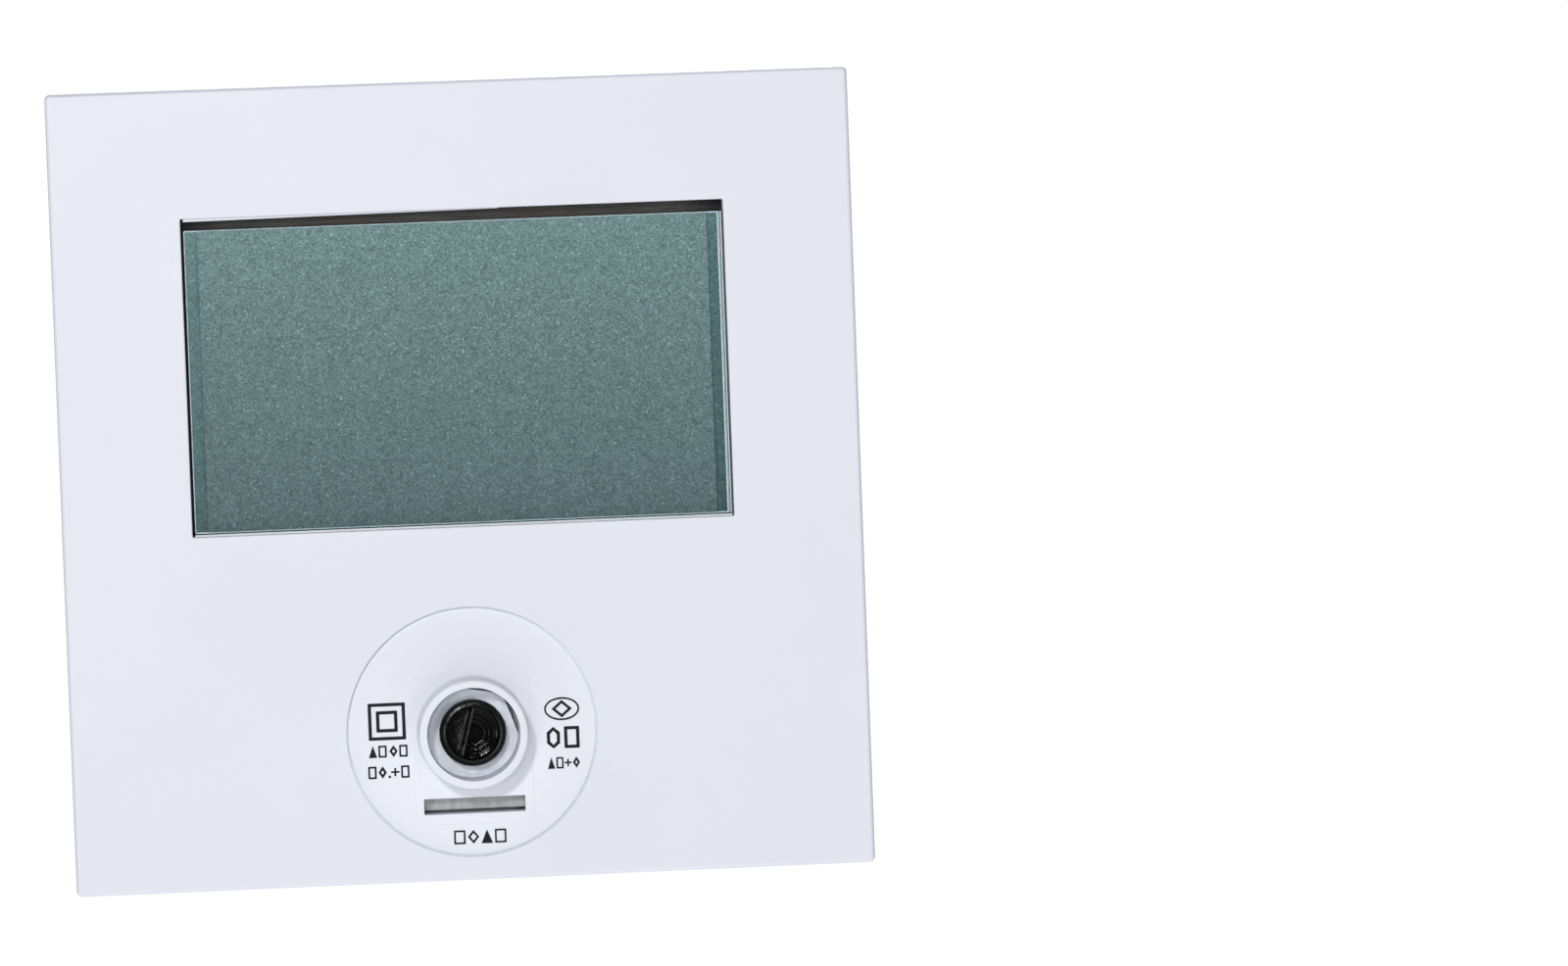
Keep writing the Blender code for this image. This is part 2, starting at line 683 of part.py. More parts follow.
def can(name, radius, height, x, z, mat):
    """A round component standing on the rear of the board, with a rolled edge."""
    rear = SEAT_REAR - height
    edge = 0.5 * MM
    profile = [
        (0, SEAT_REAR),
        (radius - edge, SEAT_REAR),
        (radius, SEAT_REAR - edge),
        (radius, rear + edge),
        (radius - edge, rear),
        (0, rear),
    ]
    return turned(name, profile, x, z, mat, sides=24)


def components():
    """What stands on the rear of the board, each 0.3 mm clear of it."""
    block("relay", (6 * MM, 26 * MM), (3.1 * MM, SEAT_REAR), (15.5 * MM, 30.5 * MM), RELAY_BLUE, 0.6 * MM)
    film_x, film_z = (-26 * MM, -13 * MM), (24.5 * MM, 30 * MM)
    block("film_capacitor", film_x, (4 * MM, SEAT_REAR), film_z, FILM_YELLOW, 0.6 * MM)
    can("electrolytic_capacitor", 4.0 * MM, 10 * MM, -22.5 * MM, 18.4 * MM, SLEEVE_BLACK)
    can("fuse", 4.2 * MM, 8 * MM, 0.5 * MM, 25.4 * MM, BLACK)
    can("backup_capacitor", 5.5 * MM, 5.4 * MM, 20 * MM, -12 * MM, STEEL)
    cross_rod("varistor", 4.5 * MM, (-8.2 * MM, -4.8 * MM), 8.6 * MM, 20.5 * MM, VARISTOR_BLUE)
    flange, waist = 4.2 * MM, 3.0 * MM
    drum = [
        (0, SEAT_REAR),
        (flange, SEAT_REAR),
        (flange, 11.9 * MM),
        (waist, 11.6 * MM),
        (waist, 6.0 * MM),
        (flange, 5.7 * MM),
        (flange, 4.3 * MM),
        (0, 4.3 * MM),
    ]
    turned("filter_choke", drum, -13.6 * MM, 18.4 * MM, SLEEVE_BLACK, sides=24)
    crystal_x, crystal_z = (-25.5 * MM, -14.5 * MM), (-12.3 * MM, -7.7 * MM)
    block("crystal", crystal_x, (9.7 * MM, SEAT_REAR), crystal_z, STEEL, 1.2 * MM, segments=3)
    microcontroller()
    temperature_sensor()


def microcontroller():
    """A flat square chip with rows of leads on its four sides."""
    x, z = -20 * MM, -22 * MM
    body_half, lead_half = 4.4 * MM, 5.6 * MM
    chip = block(
        "microcontroller",
        (x - body_half, x + body_half),
        (11.9 * MM, SEAT_REAR),
        (z - body_half, z + body_half),
        BLACK,
    )
    pitch, width = 1.0 * MM, 0.4 * MM
    offsets = [(n - 3.5) * pitch for n in range(8)]
    leads = (SEAT_REAR - 0.5 * MM, SEAT_REAR - 0.2 * MM)
    spans = [(o - width / 2, o + width / 2) for o in offsets]
    across = [((x - lead_half, x + lead_half), leads, (z + low, z + high)) for low, high in spans]
    upright = [((x + low, x + high), leads, (z - lead_half, z + lead_half)) for low, high in spans]
    join(chip, blocks("chip_leads_across", across), blocks("chip_leads_upright", upright))


def temperature_sensor():
    """A bead on two legs, held below the board in the air that rises from the vents."""
    x, depth, bead_z = -22 * MM, 12.3 * MM, -35.4 * MM
    bm = bmesh.new()
    bmesh.ops.create_uvsphere(bm, u_segments=16, v_segments=10, radius=1.2 * MM)
    bead = add("temperature_sensor", bm, SLEEVE_BLACK, (x, -depth, bead_z))
    for number, offset in enumerate((-0.6 * MM, 0.6 * MM), 1):
        wire = (x + offset - 0.2 * MM, x + offset + 0.2 * MM)
        leg = block(f"sensor_leg_{number}", wire, (depth - 0.2 * MM, depth + 0.2 * MM), (bead_z, -31.4 * MM))
        foot_depth = (depth - 0.15 * MM, SEAT_REAR)
        foot = block(f"sensor_foot_{number}", wire, foot_depth, (-31.8 * MM, -31.45 * MM))
        join(bead, leg, foot)


front_cover()
release_latch()
rear_base()
inner_chassis()
chassis_screws()
board_screws()
display()
encoder()
board()
terminals()
components()
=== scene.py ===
"""Looks of the wall thermostat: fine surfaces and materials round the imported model."""

import json
import math

import bmesh
import bpy
from mathutils import Matrix, Vector

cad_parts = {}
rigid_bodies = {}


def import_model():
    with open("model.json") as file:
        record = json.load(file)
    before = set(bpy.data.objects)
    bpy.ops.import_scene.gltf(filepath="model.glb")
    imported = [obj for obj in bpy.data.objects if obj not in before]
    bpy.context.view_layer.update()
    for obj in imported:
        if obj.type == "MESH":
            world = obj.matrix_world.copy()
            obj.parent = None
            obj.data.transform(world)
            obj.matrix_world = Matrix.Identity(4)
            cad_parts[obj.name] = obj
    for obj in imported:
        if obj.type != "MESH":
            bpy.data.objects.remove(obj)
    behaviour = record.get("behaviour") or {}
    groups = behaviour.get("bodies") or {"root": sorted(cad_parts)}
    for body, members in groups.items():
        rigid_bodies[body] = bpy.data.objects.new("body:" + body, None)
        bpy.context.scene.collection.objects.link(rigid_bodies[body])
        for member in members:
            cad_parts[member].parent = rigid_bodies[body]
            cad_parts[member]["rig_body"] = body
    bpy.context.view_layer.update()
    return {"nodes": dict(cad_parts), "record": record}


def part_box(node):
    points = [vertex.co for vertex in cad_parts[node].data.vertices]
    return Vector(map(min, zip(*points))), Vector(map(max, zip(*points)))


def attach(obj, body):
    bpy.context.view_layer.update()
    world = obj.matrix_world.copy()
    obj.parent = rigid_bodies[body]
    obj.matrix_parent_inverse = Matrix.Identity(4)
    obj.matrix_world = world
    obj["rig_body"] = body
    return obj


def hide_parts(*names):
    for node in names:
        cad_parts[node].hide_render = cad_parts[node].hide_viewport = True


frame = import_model()

MM = 0.001

# Casing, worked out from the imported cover
COVER_LOW, COVER_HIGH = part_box("front_cover")
HALF = COVER_HIGH.x
COLLAR_FRONT = -COVER_LOW.y
COLLAR_HEIGHT = 4 * MM
FRONT = COLLAR_FRONT - COLLAR_HEIGHT
COVER_REAR = -COVER_HIGH.y
FRONT_WALL = 1.8 * MM
INSIDE_FRONT = FRONT - FRONT_WALL
SIDE_WALL = 2.0 * MM
COVER_INSIDE = HALF - SIDE_WALL
CORNER_ROUND = 0.65 * MM
FRONT_ROUND = 0.5 * MM
REAR_EDGE = 0.15 * MM

# Display and its window, from the glass
GLASS_LOW, GLASS_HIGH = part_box("lcd_front_glass")
FILM_LOW, FILM_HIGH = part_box("lcd_front_polarizer")
WINDOW_GAP = 0.3 * MM
GASKET_HEIGHT = 1.3 * MM
WINDOW_X = GLASS_HIGH.x + WINDOW_GAP
WINDOW_LOW = GLASS_LOW.z - WINDOW_GAP
WINDOW_HIGH = GLASS_HIGH.z + GASKET_HEIGHT

# Knob seat, from the shaft
SHAFT_LOW, SHAFT_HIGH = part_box("encoder_shaft")
KNOB_Z = (SHAFT_LOW.z + SHAFT_HIGH.z) / 2
HEAD_RADIUS = (SHAFT_HIGH.z - SHAFT_LOW.z) / 2
HEAD_FRONT = -SHAFT_LOW.y
DISC_RADIUS = 13.5 * MM
DISC_DEPTH = 0.35 * MM
FLOOR = FRONT - DISC_DEPTH
COLLAR_RADIUS = 5.85 * MM
COLLAR_BORE = 5.0 * MM

# Release slot, the catch below it, and the pocket in the catch that holds the latch's nose
SLOT_X = 5.45 * MM
SLOT_LOW = -35.8 * MM
SLOT_HIGH = -34.1 * MM
CATCH_REAR = 16.5 * MM
CATCH_LOW = -36.9 * MM
POCKET_REAR = 18.3 * MM
POCKET_FRONT = 20.5 * MM
POCKET_LOW = -37.5 * MM
POCKET_HIGH = -35.5 * MM

# Height of the faint pad round the collar and the slot
PAD = 0.05 * MM

# How far a cutter reaches past the face it cuts
PAST = 1.0 * MM


# ---------------------------------------------------------------- materials


class Look:
    """A Principled material, with a few ways to vary its colour, roughness and surface."""

    def __init__(self, name, colour, roughness, metallic=0.0):
        self.material = bpy.data.materials.new(name)
        self.material.use_nodes = True
        self.nodes = self.material.node_tree.nodes
        self.links = self.material.node_tree.links
        self.shader = self.nodes["Principled BSDF"]
        self.colour = colour
        self.roughness = roughness
        self.shader.inputs["Base Color"].default_value = (*colour, 1)
        self.shader.inputs["Roughness"].default_value = roughness
        self.shader.inputs["Metallic"].default_value = metallic
        self.coords = self.nodes.new("ShaderNodeTexCoord").outputs["Object"]
        self.height = None

    def stretched(self, scale):
        """The object's coordinates, scaled differently along each axis."""
        mapping = self.nodes.new("ShaderNodeMapping")
        mapping.inputs["Scale"].default_value = scale
        self.links.new(self.coords, mapping.inputs["Vector"])
        return mapping.outputs["Vector"]

    def noise(self, size, detail=2.0, stretch=None):
        """Noise with features of about this size in metres."""
        node = self.nodes.new("ShaderNodeTexNoise")
        node.inputs["Scale"].default_value = 1 / size
        node.inputs["Detail"].default_value = detail
        self.links.new(self.stretched(stretch) if stretch else self.coords, node.inputs["Vector"])
        return node.outputs["Fac"]

    def cells(self, size):
        """Cells of about this size in metres, each with a colour of its own."""
        node = self.nodes.new("ShaderNodeTexVoronoi")
        node.inputs["Scale"].default_value = 1 / size
        self.links.new(self.coords, node.inputs["Vector"])
        return node.outputs["Color"]

    def ramp(self, factor, *stops):
        """A colour ramp through (position, colour) stops."""
        node = self.nodes.new("ShaderNodeValToRGB")
        elements = node.color_ramp.elements
        while len(elements) < len(stops):
            elements.new(0.5)
        for element, (position, colour) in zip(elements, stops):
            element.position = position
            element.color = (*colour, 1)
        self.links.new(factor, node.inputs["Fac"])
        return node.outputs["Color"]

    def spread(self, factor, low, high, start=0.3, end=0.7):
        """factor from start to end, mapped onto low to high."""
        node = self.nodes.new("ShaderNodeMapRange")
        for name, value in (("From Min", start), ("From Max", end), ("To Min", low), ("To Max", high)):
            node.inputs[name].default_value = value
        self.links.new(factor, node.inputs["Value"])
        return node.outputs["Result"]

    def mix(self, factor, first, second, blend="MIX"):
        """Two colours mixed. Each input is a fixed value or a node's output."""
        node = self.nodes.new("ShaderNodeMix")
        node.data_type = "RGBA"
        node.blend_type = blend
        for socket, value in ((node.inputs[0], factor), (node.inputs[6], first), (node.inputs[7], second)):
            if isinstance(value, tuple):
                socket.default_value = (*value, 1)
            elif isinstance(value, float):
                socket.default_value = value
            else:
                self.links.new(value, socket)
        return node.outputs[2]

    def thread(self, axis, pitch):
        """A wave from 0 to 1 that repeats along one axis."""
        wave = self.nodes.new("ShaderNodeTexWave")
        wave.bands_direction = axis
        wave.inputs["Scale"].default_value = math.pi / (10 * pitch)
        self.links.new(self.coords, wave.inputs["Vector"])
        return wave.outputs["Fac"]

    def combine(self, operation, first, second):
        """Two numbers put together by this operation. Each is a float or a node's output."""
        node = self.nodes.new("ShaderNodeMath")
        node.operation = operation
        for socket, value in zip(node.inputs, (first, second)):
            if isinstance(value, float):
                socket.default_value = value
            else:
                self.links.new(value, socket)
        return node.outputs[0]

    def split(self, vector, axis):
        """One axis of a vector or colour."""
        node = self.nodes.new("ShaderNodeSeparateXYZ")
        self.links.new(vector, node.inputs["Vector"])
        return node.outputs[axis]

    def vary_colour(self, size, amount):
        """Patches a little lighter and darker than the colour."""
        dark = tuple(c * (1 - amount) for c in self.colour)
        light = tuple(min(1, c * (1 + amount)) for c in self.colour)
        self.paint(self.ramp(self.noise(size), (0.3, dark), (0.7, light)))
        return self

    def paint(self, colour_output):
        """Takes the base colour from a node's output."""
        self.links.new(colour_output, self.shader.inputs["Base Color"])
        return self

    def vary_roughness(self, size, amount):
        """Patches a little glossier and duller than the roughness."""
        low, high = max(0.02, self.roughness - amount), min(1, self.roughness + amount)
        self.links.new(self.spread(self.noise(size, 3), low, high), self.shader.inputs["Roughness"])
        return self

    def emboss(self, height_output, depth):
        """Adds a bump of this depth in metres on top of any other."""
        bump = self.nodes.new("ShaderNodeBump")
        bump.inputs["Distance"].default_value = depth
        self.links.new(height_output, bump.inputs["Height"])
        if self.height:
            self.links.new(self.height, bump.inputs["Normal"])
        self.height = bump.outputs["Normal"]
        self.links.new(self.height, self.shader.inputs["Normal"])
        return self

    def set(self, **values):
        """Sets the shader's own inputs, with _ for each space in an input's name."""
        for name, value in values.items():
            self.shader.inputs[name.replace("_", " ")].default_value = value
        return self


def plastic(name, colour, roughness, grain=0.25 * MM, depth=0.004 * MM):
    """Moulded plastic: faint cloudiness, and a fine grain on the surface."""
    look = Look(name, colour, roughness)
    look.vary_colour(9 * MM, 0.012).vary_roughness(1.6 * MM, 0.05)
    return look.emboss(look.noise(grain, 3), depth)


def metal(name, colour, roughness):
    """Plated or turned metal with fine machining marks."""
    look = Look(name, colour, roughness, metallic=1.0)
    look.vary_colour(0.8 * MM, 0.06).vary_roughness(0.5 * MM, 0.08)
    return look.emboss(look.noise(0.12 * MM, 2), 0.003 * MM)


def cover_white():
    """The plate's bluish white, slightly lighter on the floor of the knob's recess."""
    look = Look("cover_plastic", (0.755, 0.775, 0.850), 0.40)
    clouds = look.ramp(look.noise(14 * MM), (0.3, (0.749, 0.769, 0.843)), (0.7, (0.761, 0.781, 0.857)))
    place = look.nodes.new("ShaderNodeVectorMath")
    place.operation = "DISTANCE"
    look.links.new(look.coords, place.inputs[0])
    place.inputs[1].default_value = (0, -FLOOR, KNOB_Z)
    inside = look.spread(place.outputs["Value"], 1.0, 0.0, DISC_RADIUS - 0.15 * MM, DISC_RADIUS - 0.05 * MM)
    look.paint(look.mix(inside, clouds, (0.778, 0.798, 0.868)))
    look.vary_roughness(2.4 * MM, 0.04)
    return look.emboss(look.noise(0.35 * MM, 3), 0.0025 * MM).material


def sparkling(name, dim, bright, roughness, left):
    """Film seen through glass: random flakes, lighter towards the top as a painted reflection. left tints
    its left edge.
    """
    look = Look(name, dim, roughness)
    flakes = look.split(look.cells(0.15 * MM), "X")
    glints = look.spread(look.split(look.cells(0.17 * MM), "Y"), 0.0, 0.6, 0.94, 1.0)
    soft = look.spread(look.noise(0.7 * MM, 3), -0.01, 0.09)
    level = look.combine("ADD", look.spread(flakes, 0.02, 0.42, 0.0, 1.0), look.combine("ADD", glints, soft))
    flaked = look.mix(level, dim, bright)
    # Painted reflection: the colour grows lighter from the bottom of the glass to its top.
    height = look.spread(look.split(look.coords, "Z"), 0.0, 1.0, GLASS_LOW.z, GLASS_HIGH.z)
    bottom, middle, top = (0.76, 0.75, 0.78), (0.97, 0.96, 0.97), (1.20, 1.21, 1.20)
    painted_reflection_fade = look.ramp(height, (0.0, bottom), (0.45, middle), (1.0, top))
    across = look.spread(look.split(look.coords, "X"), 0.0, 1.0, -GLASS_HIGH.x, GLASS_HIGH.x)
    sides = look.ramp(across, (0.0, left), (0.06, (1, 1, 1)), (1.0, (1.03, 1.03, 1.03)))
    look.paint(look.mix(1.0, look.mix(1.0, flaked, painted_reflection_fade, "MULTIPLY"), sides, "MULTIPLY"))
    look.vary_roughness(0.2 * MM, 0.08)
    return look.emboss(look.noise(0.16 * MM, 2), 0.003 * MM).set(Specular_IOR_Level=0.22).material


def glass_edge_highlight():
    """The polished sides of a glass plate: pale teal, partly the glass's own tint and partly a painted
    highlight along its edges.
    """
    look = Look("glass_edge_highlight", (0.62, 0.78, 0.80), 0.12)
    look.vary_colour(0.9 * MM, 0.2).vary_roughness(0.5 * MM, 0.06)
    return look.emboss(look.noise(0.3 * MM, 2), 0.002 * MM).material


def glass_rim_highlight():
    """The ground edge of the glass, painted as a highlight: pale cyan, and speckled."""
    look = Look("glass_rim_highlight", (0.62, 0.80, 0.86), 0.22)
    dark, middle, bright = (0.40, 0.62, 0.66), (0.66, 0.84, 0.90), (0.85, 0.95, 1.0)
    look.paint(look.ramp(look.noise(0.25 * MM, 3), (0.3, dark), (0.55, middle), (0.8, bright)))
    look.vary_roughness(0.3 * MM, 0.08)
    return look.emboss(look.noise(0.12 * MM, 2), 0.004 * MM).material


def window_wall_shade():
    """Painted shade on the window's right wall: dark, with a faint blue cast."""
    look = Look("window_wall_shade", (0.045, 0.065, 0.078), 0.5)
    look.vary_colour(0.6 * MM, 0.35).vary_roughness(0.5 * MM, 0.1)
    return look.emboss(look.noise(0.15 * MM, 3), 0.01 * MM).material


def gasket_and_painted_shade():
    """Dark strip above the glass, partly a real dark gap and partly painted shade under the window's top
    edge: streaked along its length, and darker at both ends.
    """
    look = Look("gasket_foam_and_shade", (0.06, 0.06, 0.056), 0.7)
    streaks = look.noise(1.0, 3, (1 / (5 * MM), 1 / (1 * MM), 1 / (0.13 * MM)))
    body = look.ramp(streaks, (0.3, (0.020, 0.020, 0.019)), (0.7, (0.085, 0.080, 0.072)))
    from_middle = look.combine("ABSOLUTE", look.split(look.coords, "X"), 0.0)
    ends = look.spread(from_middle, 0.0, 1.0, 24.5 * MM, 28.2 * MM)
    look.paint(look.mix(ends, body, (0.014, 0.014, 0.016)))
    look.vary_roughness(0.5 * MM, 0.1)
    return look.emboss(look.noise(0.12 * MM, 3), 0.02 * MM).set(Specular_IOR_Level=0.2).material


def shaft_black():
    """Glossy black, with matt blotches."""
    look = Look("black_plastic", (0.0015, 0.0015, 0.002), 0.13)
    look.vary_colour(0.7 * MM, 0.4)
    blotches = look.spread(look.noise(0.8 * MM, 3), 0.10, 0.32, 0.60, 0.72)
    look.links.new(blotches, look.shader.inputs["Roughness"])
    look.emboss(look.noise(0.7 * MM, 2), 0.03 * MM)
    look.emboss(look.noise(0.28 * MM, 1), 0.018 * MM)
    return look.set(Specular_IOR_Level=0.15).material


def rim_black():
    """The same black where it is worn to a satin sheen, round the rim."""
    look = Look("black_rim", (0.002, 0.002, 0.0025), 0.24)
    look.vary_colour(0.7 * MM, 0.4).vary_roughness(0.5 * MM, 0.06)
    return look.emboss(look.noise(0.6 * MM, 2), 0.02 * MM).set(Specular_IOR_Level=0.30).material


def nut_metal():
    """Bright nickel plate, with rings left by turning round the knob's axis."""
    look = Look("nickel_plate", (0.84, 0.88, 0.96), 0.45, metallic=0.1)
    look.vary_colour(0.9 * MM, 0.05).vary_roughness(0.6 * MM, 0.08)
    rings = look.nodes.new("ShaderNodeTexWave")
    rings.wave_type = "RINGS"
    rings.rings_direction = "Y"
    rings.inputs["Scale"].default_value = 1 / (0.6 * MM)
    rings.inputs["Distortion"].default_value = 0.4
    place = look.nodes.new("ShaderNodeMapping")
    place.inputs["Location"].default_value = (0, 0, -KNOB_Z)
    look.links.new(look.coords, place.inputs["Vector"])
    look.links.new(place.outputs["Vector"], rings.inputs["Vector"])
    return look.emboss(rings.outputs["Fac"], 0.004 * MM).material


def board_laminate():
    """Green solder resist over a glass weave, blotched where copper lies underneath."""
    look = Look("board_laminate", (0.018, 0.135, 0.060), 0.3)
    weave = look.combine("MULTIPLY", look.thread("X", 0.35 * MM), look.thread("Z", 0.35 * MM))
    resist = look.ramp(weave, (0.1, (0.014, 0.115, 0.050)), (0.9, (0.022, 0.150, 0.068)))
    copper = look.spread(look.noise(5 * MM, 1), 0.0, 1.0, 0.50, 0.52)
    look.paint(look.mix(copper, resist, (0.030, 0.190, 0.085)))
    look.vary_roughness(1 * MM, 0.08)
    return look.emboss(copper, 0.03 * MM).material


def latch_plastic_and_shade():
    """Grey plastic with faint upright flow marks; its grey is partly painted shade, darker than the base's
    plastic where the latch lies deep in the release slot.
    """
    look = Look("latch_plastic_and_shade", (0.42, 0.42, 0.43), 0.45)
    marks = look.noise(1.0, 3, (1 / (0.5 * MM), 1 / (3 * MM), 1 / (3 * MM)))
    look.paint(look.ramp(marks, (0.25, (0.34, 0.34, 0.35)), (0.75, (0.52, 0.52, 0.53))))
    look.vary_roughness(0.5 * MM, 0.08)
    return look.emboss(look.noise(0.15 * MM, 3), 0.006 * MM).material


def printed_ink():
    """Dull black ink, a little uneven."""
    look = Look("printed_ink", (0.008, 0.009, 0.013), 0.5)
    look.vary_colour(0.4 * MM, 0.35).vary_roughness(0.3 * MM, 0.1)
    return look.emboss(look.noise(0.08 * MM, 2), 0.003 * MM).set(Specular_IOR_Level=0.15).material


def pale_floor():
    """Matt and pale, and faintly bright itself, so that the object casts only a soft shade on it."""
    look = Look("floor", (0.92, 0.92, 0.92), 0.9)
    look.vary_colour(0.15, 0.01).vary_roughness(0.05, 0.05)
    return look.set(Specular_IOR_Level=0.1, Emission_Strength=0.32).material


COVER = cover_white()
BASE = plastic("base_plastic", (0.70, 0.71, 0.74), 0.46, 0.3 * MM, 0.008 * MM).material
CHASSIS = plastic("chassis_plastic", (0.56, 0.57, 0.60), 0.5, 0.3 * MM, 0.008 * MM).material
FILM = sparkling("display_film", (0.070, 0.119, 0.123), (0.295, 0.44, 0.44), 0.16, (0.99, 0.98, 0.98))
GLASS = sparkling("display_glass", (0.050, 0.100, 0.104), (0.17, 0.29, 0.30), 0.14, (1.45, 1.34, 1.32))
EDGE_HIGHLIGHT = glass_edge_highlight()
RIM_HIGHLIGHT = glass_rim_highlight()
BLACK = shaft_black()
BLACK_RIM = rim_black()
NICKEL = nut_metal()
STEEL = metal("zinc_plate", (0.62, 0.63, 0.66), 0.30).material
BRASS = metal("turned_brass", (0.72, 0.56, 0.28), 0.28).material
GASKET_AND_SHADE = gasket_and_painted_shade()
WALL_SHADE = window_wall_shade()
# Painted light: a lip whiter than the plate, for the lit lower and right walls of the window.
LIT_LIP_PAINTED = plastic("gasket_lip_painted_light", (0.84, 0.90, 0.93), 0.3, 0.2 * MM, 0.004 * MM).material
TONGUE_AND_SHADE = latch_plastic_and_shade()
INK = printed_ink()


# ---------------------------------------------------------------- shapes


def add(name, bm, *materials):
    """An object made from a bmesh. Without a material it is a cutter, removed once it is used."""
    bmesh.ops.recalc_face_normals(bm, faces=bm.faces)
    mesh = bpy.data.meshes.new(name)
    bm.to_mesh(mesh)
    bm.free()
    obj = bpy.data.objects.new(name, mesh)
    bpy.context.scene.collection.objects.link(obj)
    for material in materials:
        mesh.materials.append(material)
    return obj


def outline(half_x, half_z, radius, steps=6):
    """A rounded rectangle's points, going round once."""
    points = []
    for quarter in range(4):
        side_x = 1 if quarter in (0, 3) else -1
        side_z = 1 if quarter in (0, 1) else -1
        for n in range(steps + 1):
            angle = math.pi / 2 * (quarter + n / steps)
            x = side_x * (half_x - radius) + radius * math.cos(angle)
            z = side_z * (half_z - radius) + radius * math.sin(angle)
            points.append((x, z))
    return points


def join_rings(bm, low, high):
    """Faces between two rings with equal numbers of vertices."""
    for n in range(len(low)):
        after = (n + 1) % len(low)
        bm.faces.new((low[n], low[after], high[after], high[n]))


def close_rings(bm, rings):
    """A solid through rings of vertices, closed at both ends."""
    bm.faces.new(rings[0])
    bm.faces.new(rings[-1])
    for low, high in zip(rings, rings[1:]):
        join_rings(bm, low, high)


def loft_into(bm, sections, x=0.0, z=0.0, steps=6):
    """Adds a solid through sections, each (depth, half width, half height, corner radius)."""
    rings = []
    for depth, half_x, half_z, radius in sections:
        points = outline(half_x, half_z, radius, steps)
        rings.append([bm.verts.new((x + px, -depth, z + pz)) for px, pz in points])
    close_rings(bm, rings)


def loft(name, sections, x=0.0, z=0.0, materials=(), steps=6):
    """An object with the solid that loft_into adds."""
    bm = bmesh.new()
    loft_into(bm, sections, x, z, steps)
    return add(name, bm, *materials)


def quarter_arc(radius, steps):
    """Points (inset, rise) of a rounding, from its side to its top."""
    turns = [math.pi / 2 * n / steps for n in range(steps + 1)]
    return [(radius * (1 - math.cos(t)), radius * math.sin(t)) for t in turns]


def front_rounding(front, half_x, half_z, radius, edge, steps=5):
    """Sections that round a solid off to its front face."""
    return [
        (front - edge + rise, half_x - inset, half_z - inset, max(radius - inset, 0.02 * MM))
        for inset, rise in quarter_arc(edge, steps)
    ]


def mouth(front, half_x, half_z, radius, edge):
    """Sections of a cutter that leaves a rounded edge round an opening in the face at front."""
    found = [
        (front - edge + rise, half_x + outset, half_z + outset, radius + outset)
        for outset, rise in quarter_arc(edge, 4)
    ]
    return found + [(front + PAST, half_x + edge, half_z + edge, radius + edge)]


def rounded(points, radii, steps=5):
    """A profile with its corners turned into arcs of the radii given, 0 for a sharp one."""
    found = []
    for n, (point, radius) in enumerate(zip(points, radii)):
        here = Vector(point)
        if not radius:
            found.append(here)
            continue
        back = Vector(points[n - 1]) - here
        ahead = Vector(points[(n + 1) % len(points)]) - here
        half_angle = back.angle(ahead) / 2
        reach = radius / math.tan(half_angle)
        start = here + back.normalized() * reach
        end = here + ahead.normalized() * reach
        inward = (back.normalized() + ahead.normalized()).normalized()
        centre = here + inward * (radius / math.sin(half_angle))
        for k in range(steps + 1):
            spoke = (start - centre).slerp(end - centre, k / steps)
            found.append(centre + spoke.normalized() * radius)
    return [tuple(p) for p in found]


def lathe_into(bm, profile, x, z, sides=96):
    """Adds the solid turned from (radius, depth) points about an axis square to the wall."""
    made = [bm.verts.new((x + radius, -depth, z)) for radius, depth in profile]
    edges = [bm.edges.new(pair) for pair in zip(made, made[1:])]
    bmesh.ops.spin(
        bm, geom=made + edges, cent=(x, 0, z), axis=(0, 1, 0), angle=2 * math.pi, steps=sides, use_merge=True
    )
    bmesh.ops.remove_doubles(bm, verts=bm.verts, dist=0.0005 * MM)


def lathe(name, profile, x, z, materials=(), sides=96):
    """An object with the solid that lathe_into adds."""
    bm = bmesh.new()
    lathe_into(bm, profile, x, z, sides)
    return add(name, bm, *materials)


def box_into(bm, x, depth, z):
    """Adds a box between the two ends given for x, depth and z."""
    middle = Vector(((x[0] + x[1]) / 2, -(depth[0] + depth[1]) / 2, (z[0] + z[1]) / 2))
    size = (x[1] - x[0], depth[1] - depth[0], z[1] - z[0])
    bmesh.ops.create_cube(bm, size=1, matrix=Matrix.Translation(middle) @ Matrix.Diagonal((*size, 1)))


def boxes(name, spans, materials=()):
    """An object made of boxes, each (x, depth, z) with two ends for each."""
    bm = bmesh.new()
    for x, depth, z in spans:
        box_into(bm, x, depth, z)
    return add(name, bm, *materials)


def apply_all(obj):
    """Bakes an object's modifiers into its mesh."""
    graph = bpy.context.evaluated_depsgraph_get()
    evaluated = obj.evaluated_get(graph)
    mesh = bpy.data.meshes.new_from_object(evaluated, preserve_all_data_layers=True, depsgraph=graph)
    obj.modifiers.clear()
    obj.data = mesh
    return obj


def carve(obj, steps):
    """Cuts, joins or intersects in order, by (operation, helper object). The helpers are used up."""
    for operation, helper in steps:
        boolean = obj.modifiers.new("carve", "BOOLEAN")
        boolean.operation = operation
        boolean.solver = "EXACT"
        boolean.object = helper
    bpy.context.view_layer.update()
    apply_all(obj)
    for _, helper in steps:
        bpy.data.objects.remove(helper)
    return obj


def finish_surface(obj):
    """Smooth shading up to each sharp edge, with the large flats kept flat."""
    obj.data.shade_smooth()
    obj.data.set_sharp_from_angle(angle=math.radians(32))
    weighted = obj.modifiers.new("weighted", "WEIGHTED_NORMAL")
    weighted.keep_sharp = True
    return obj


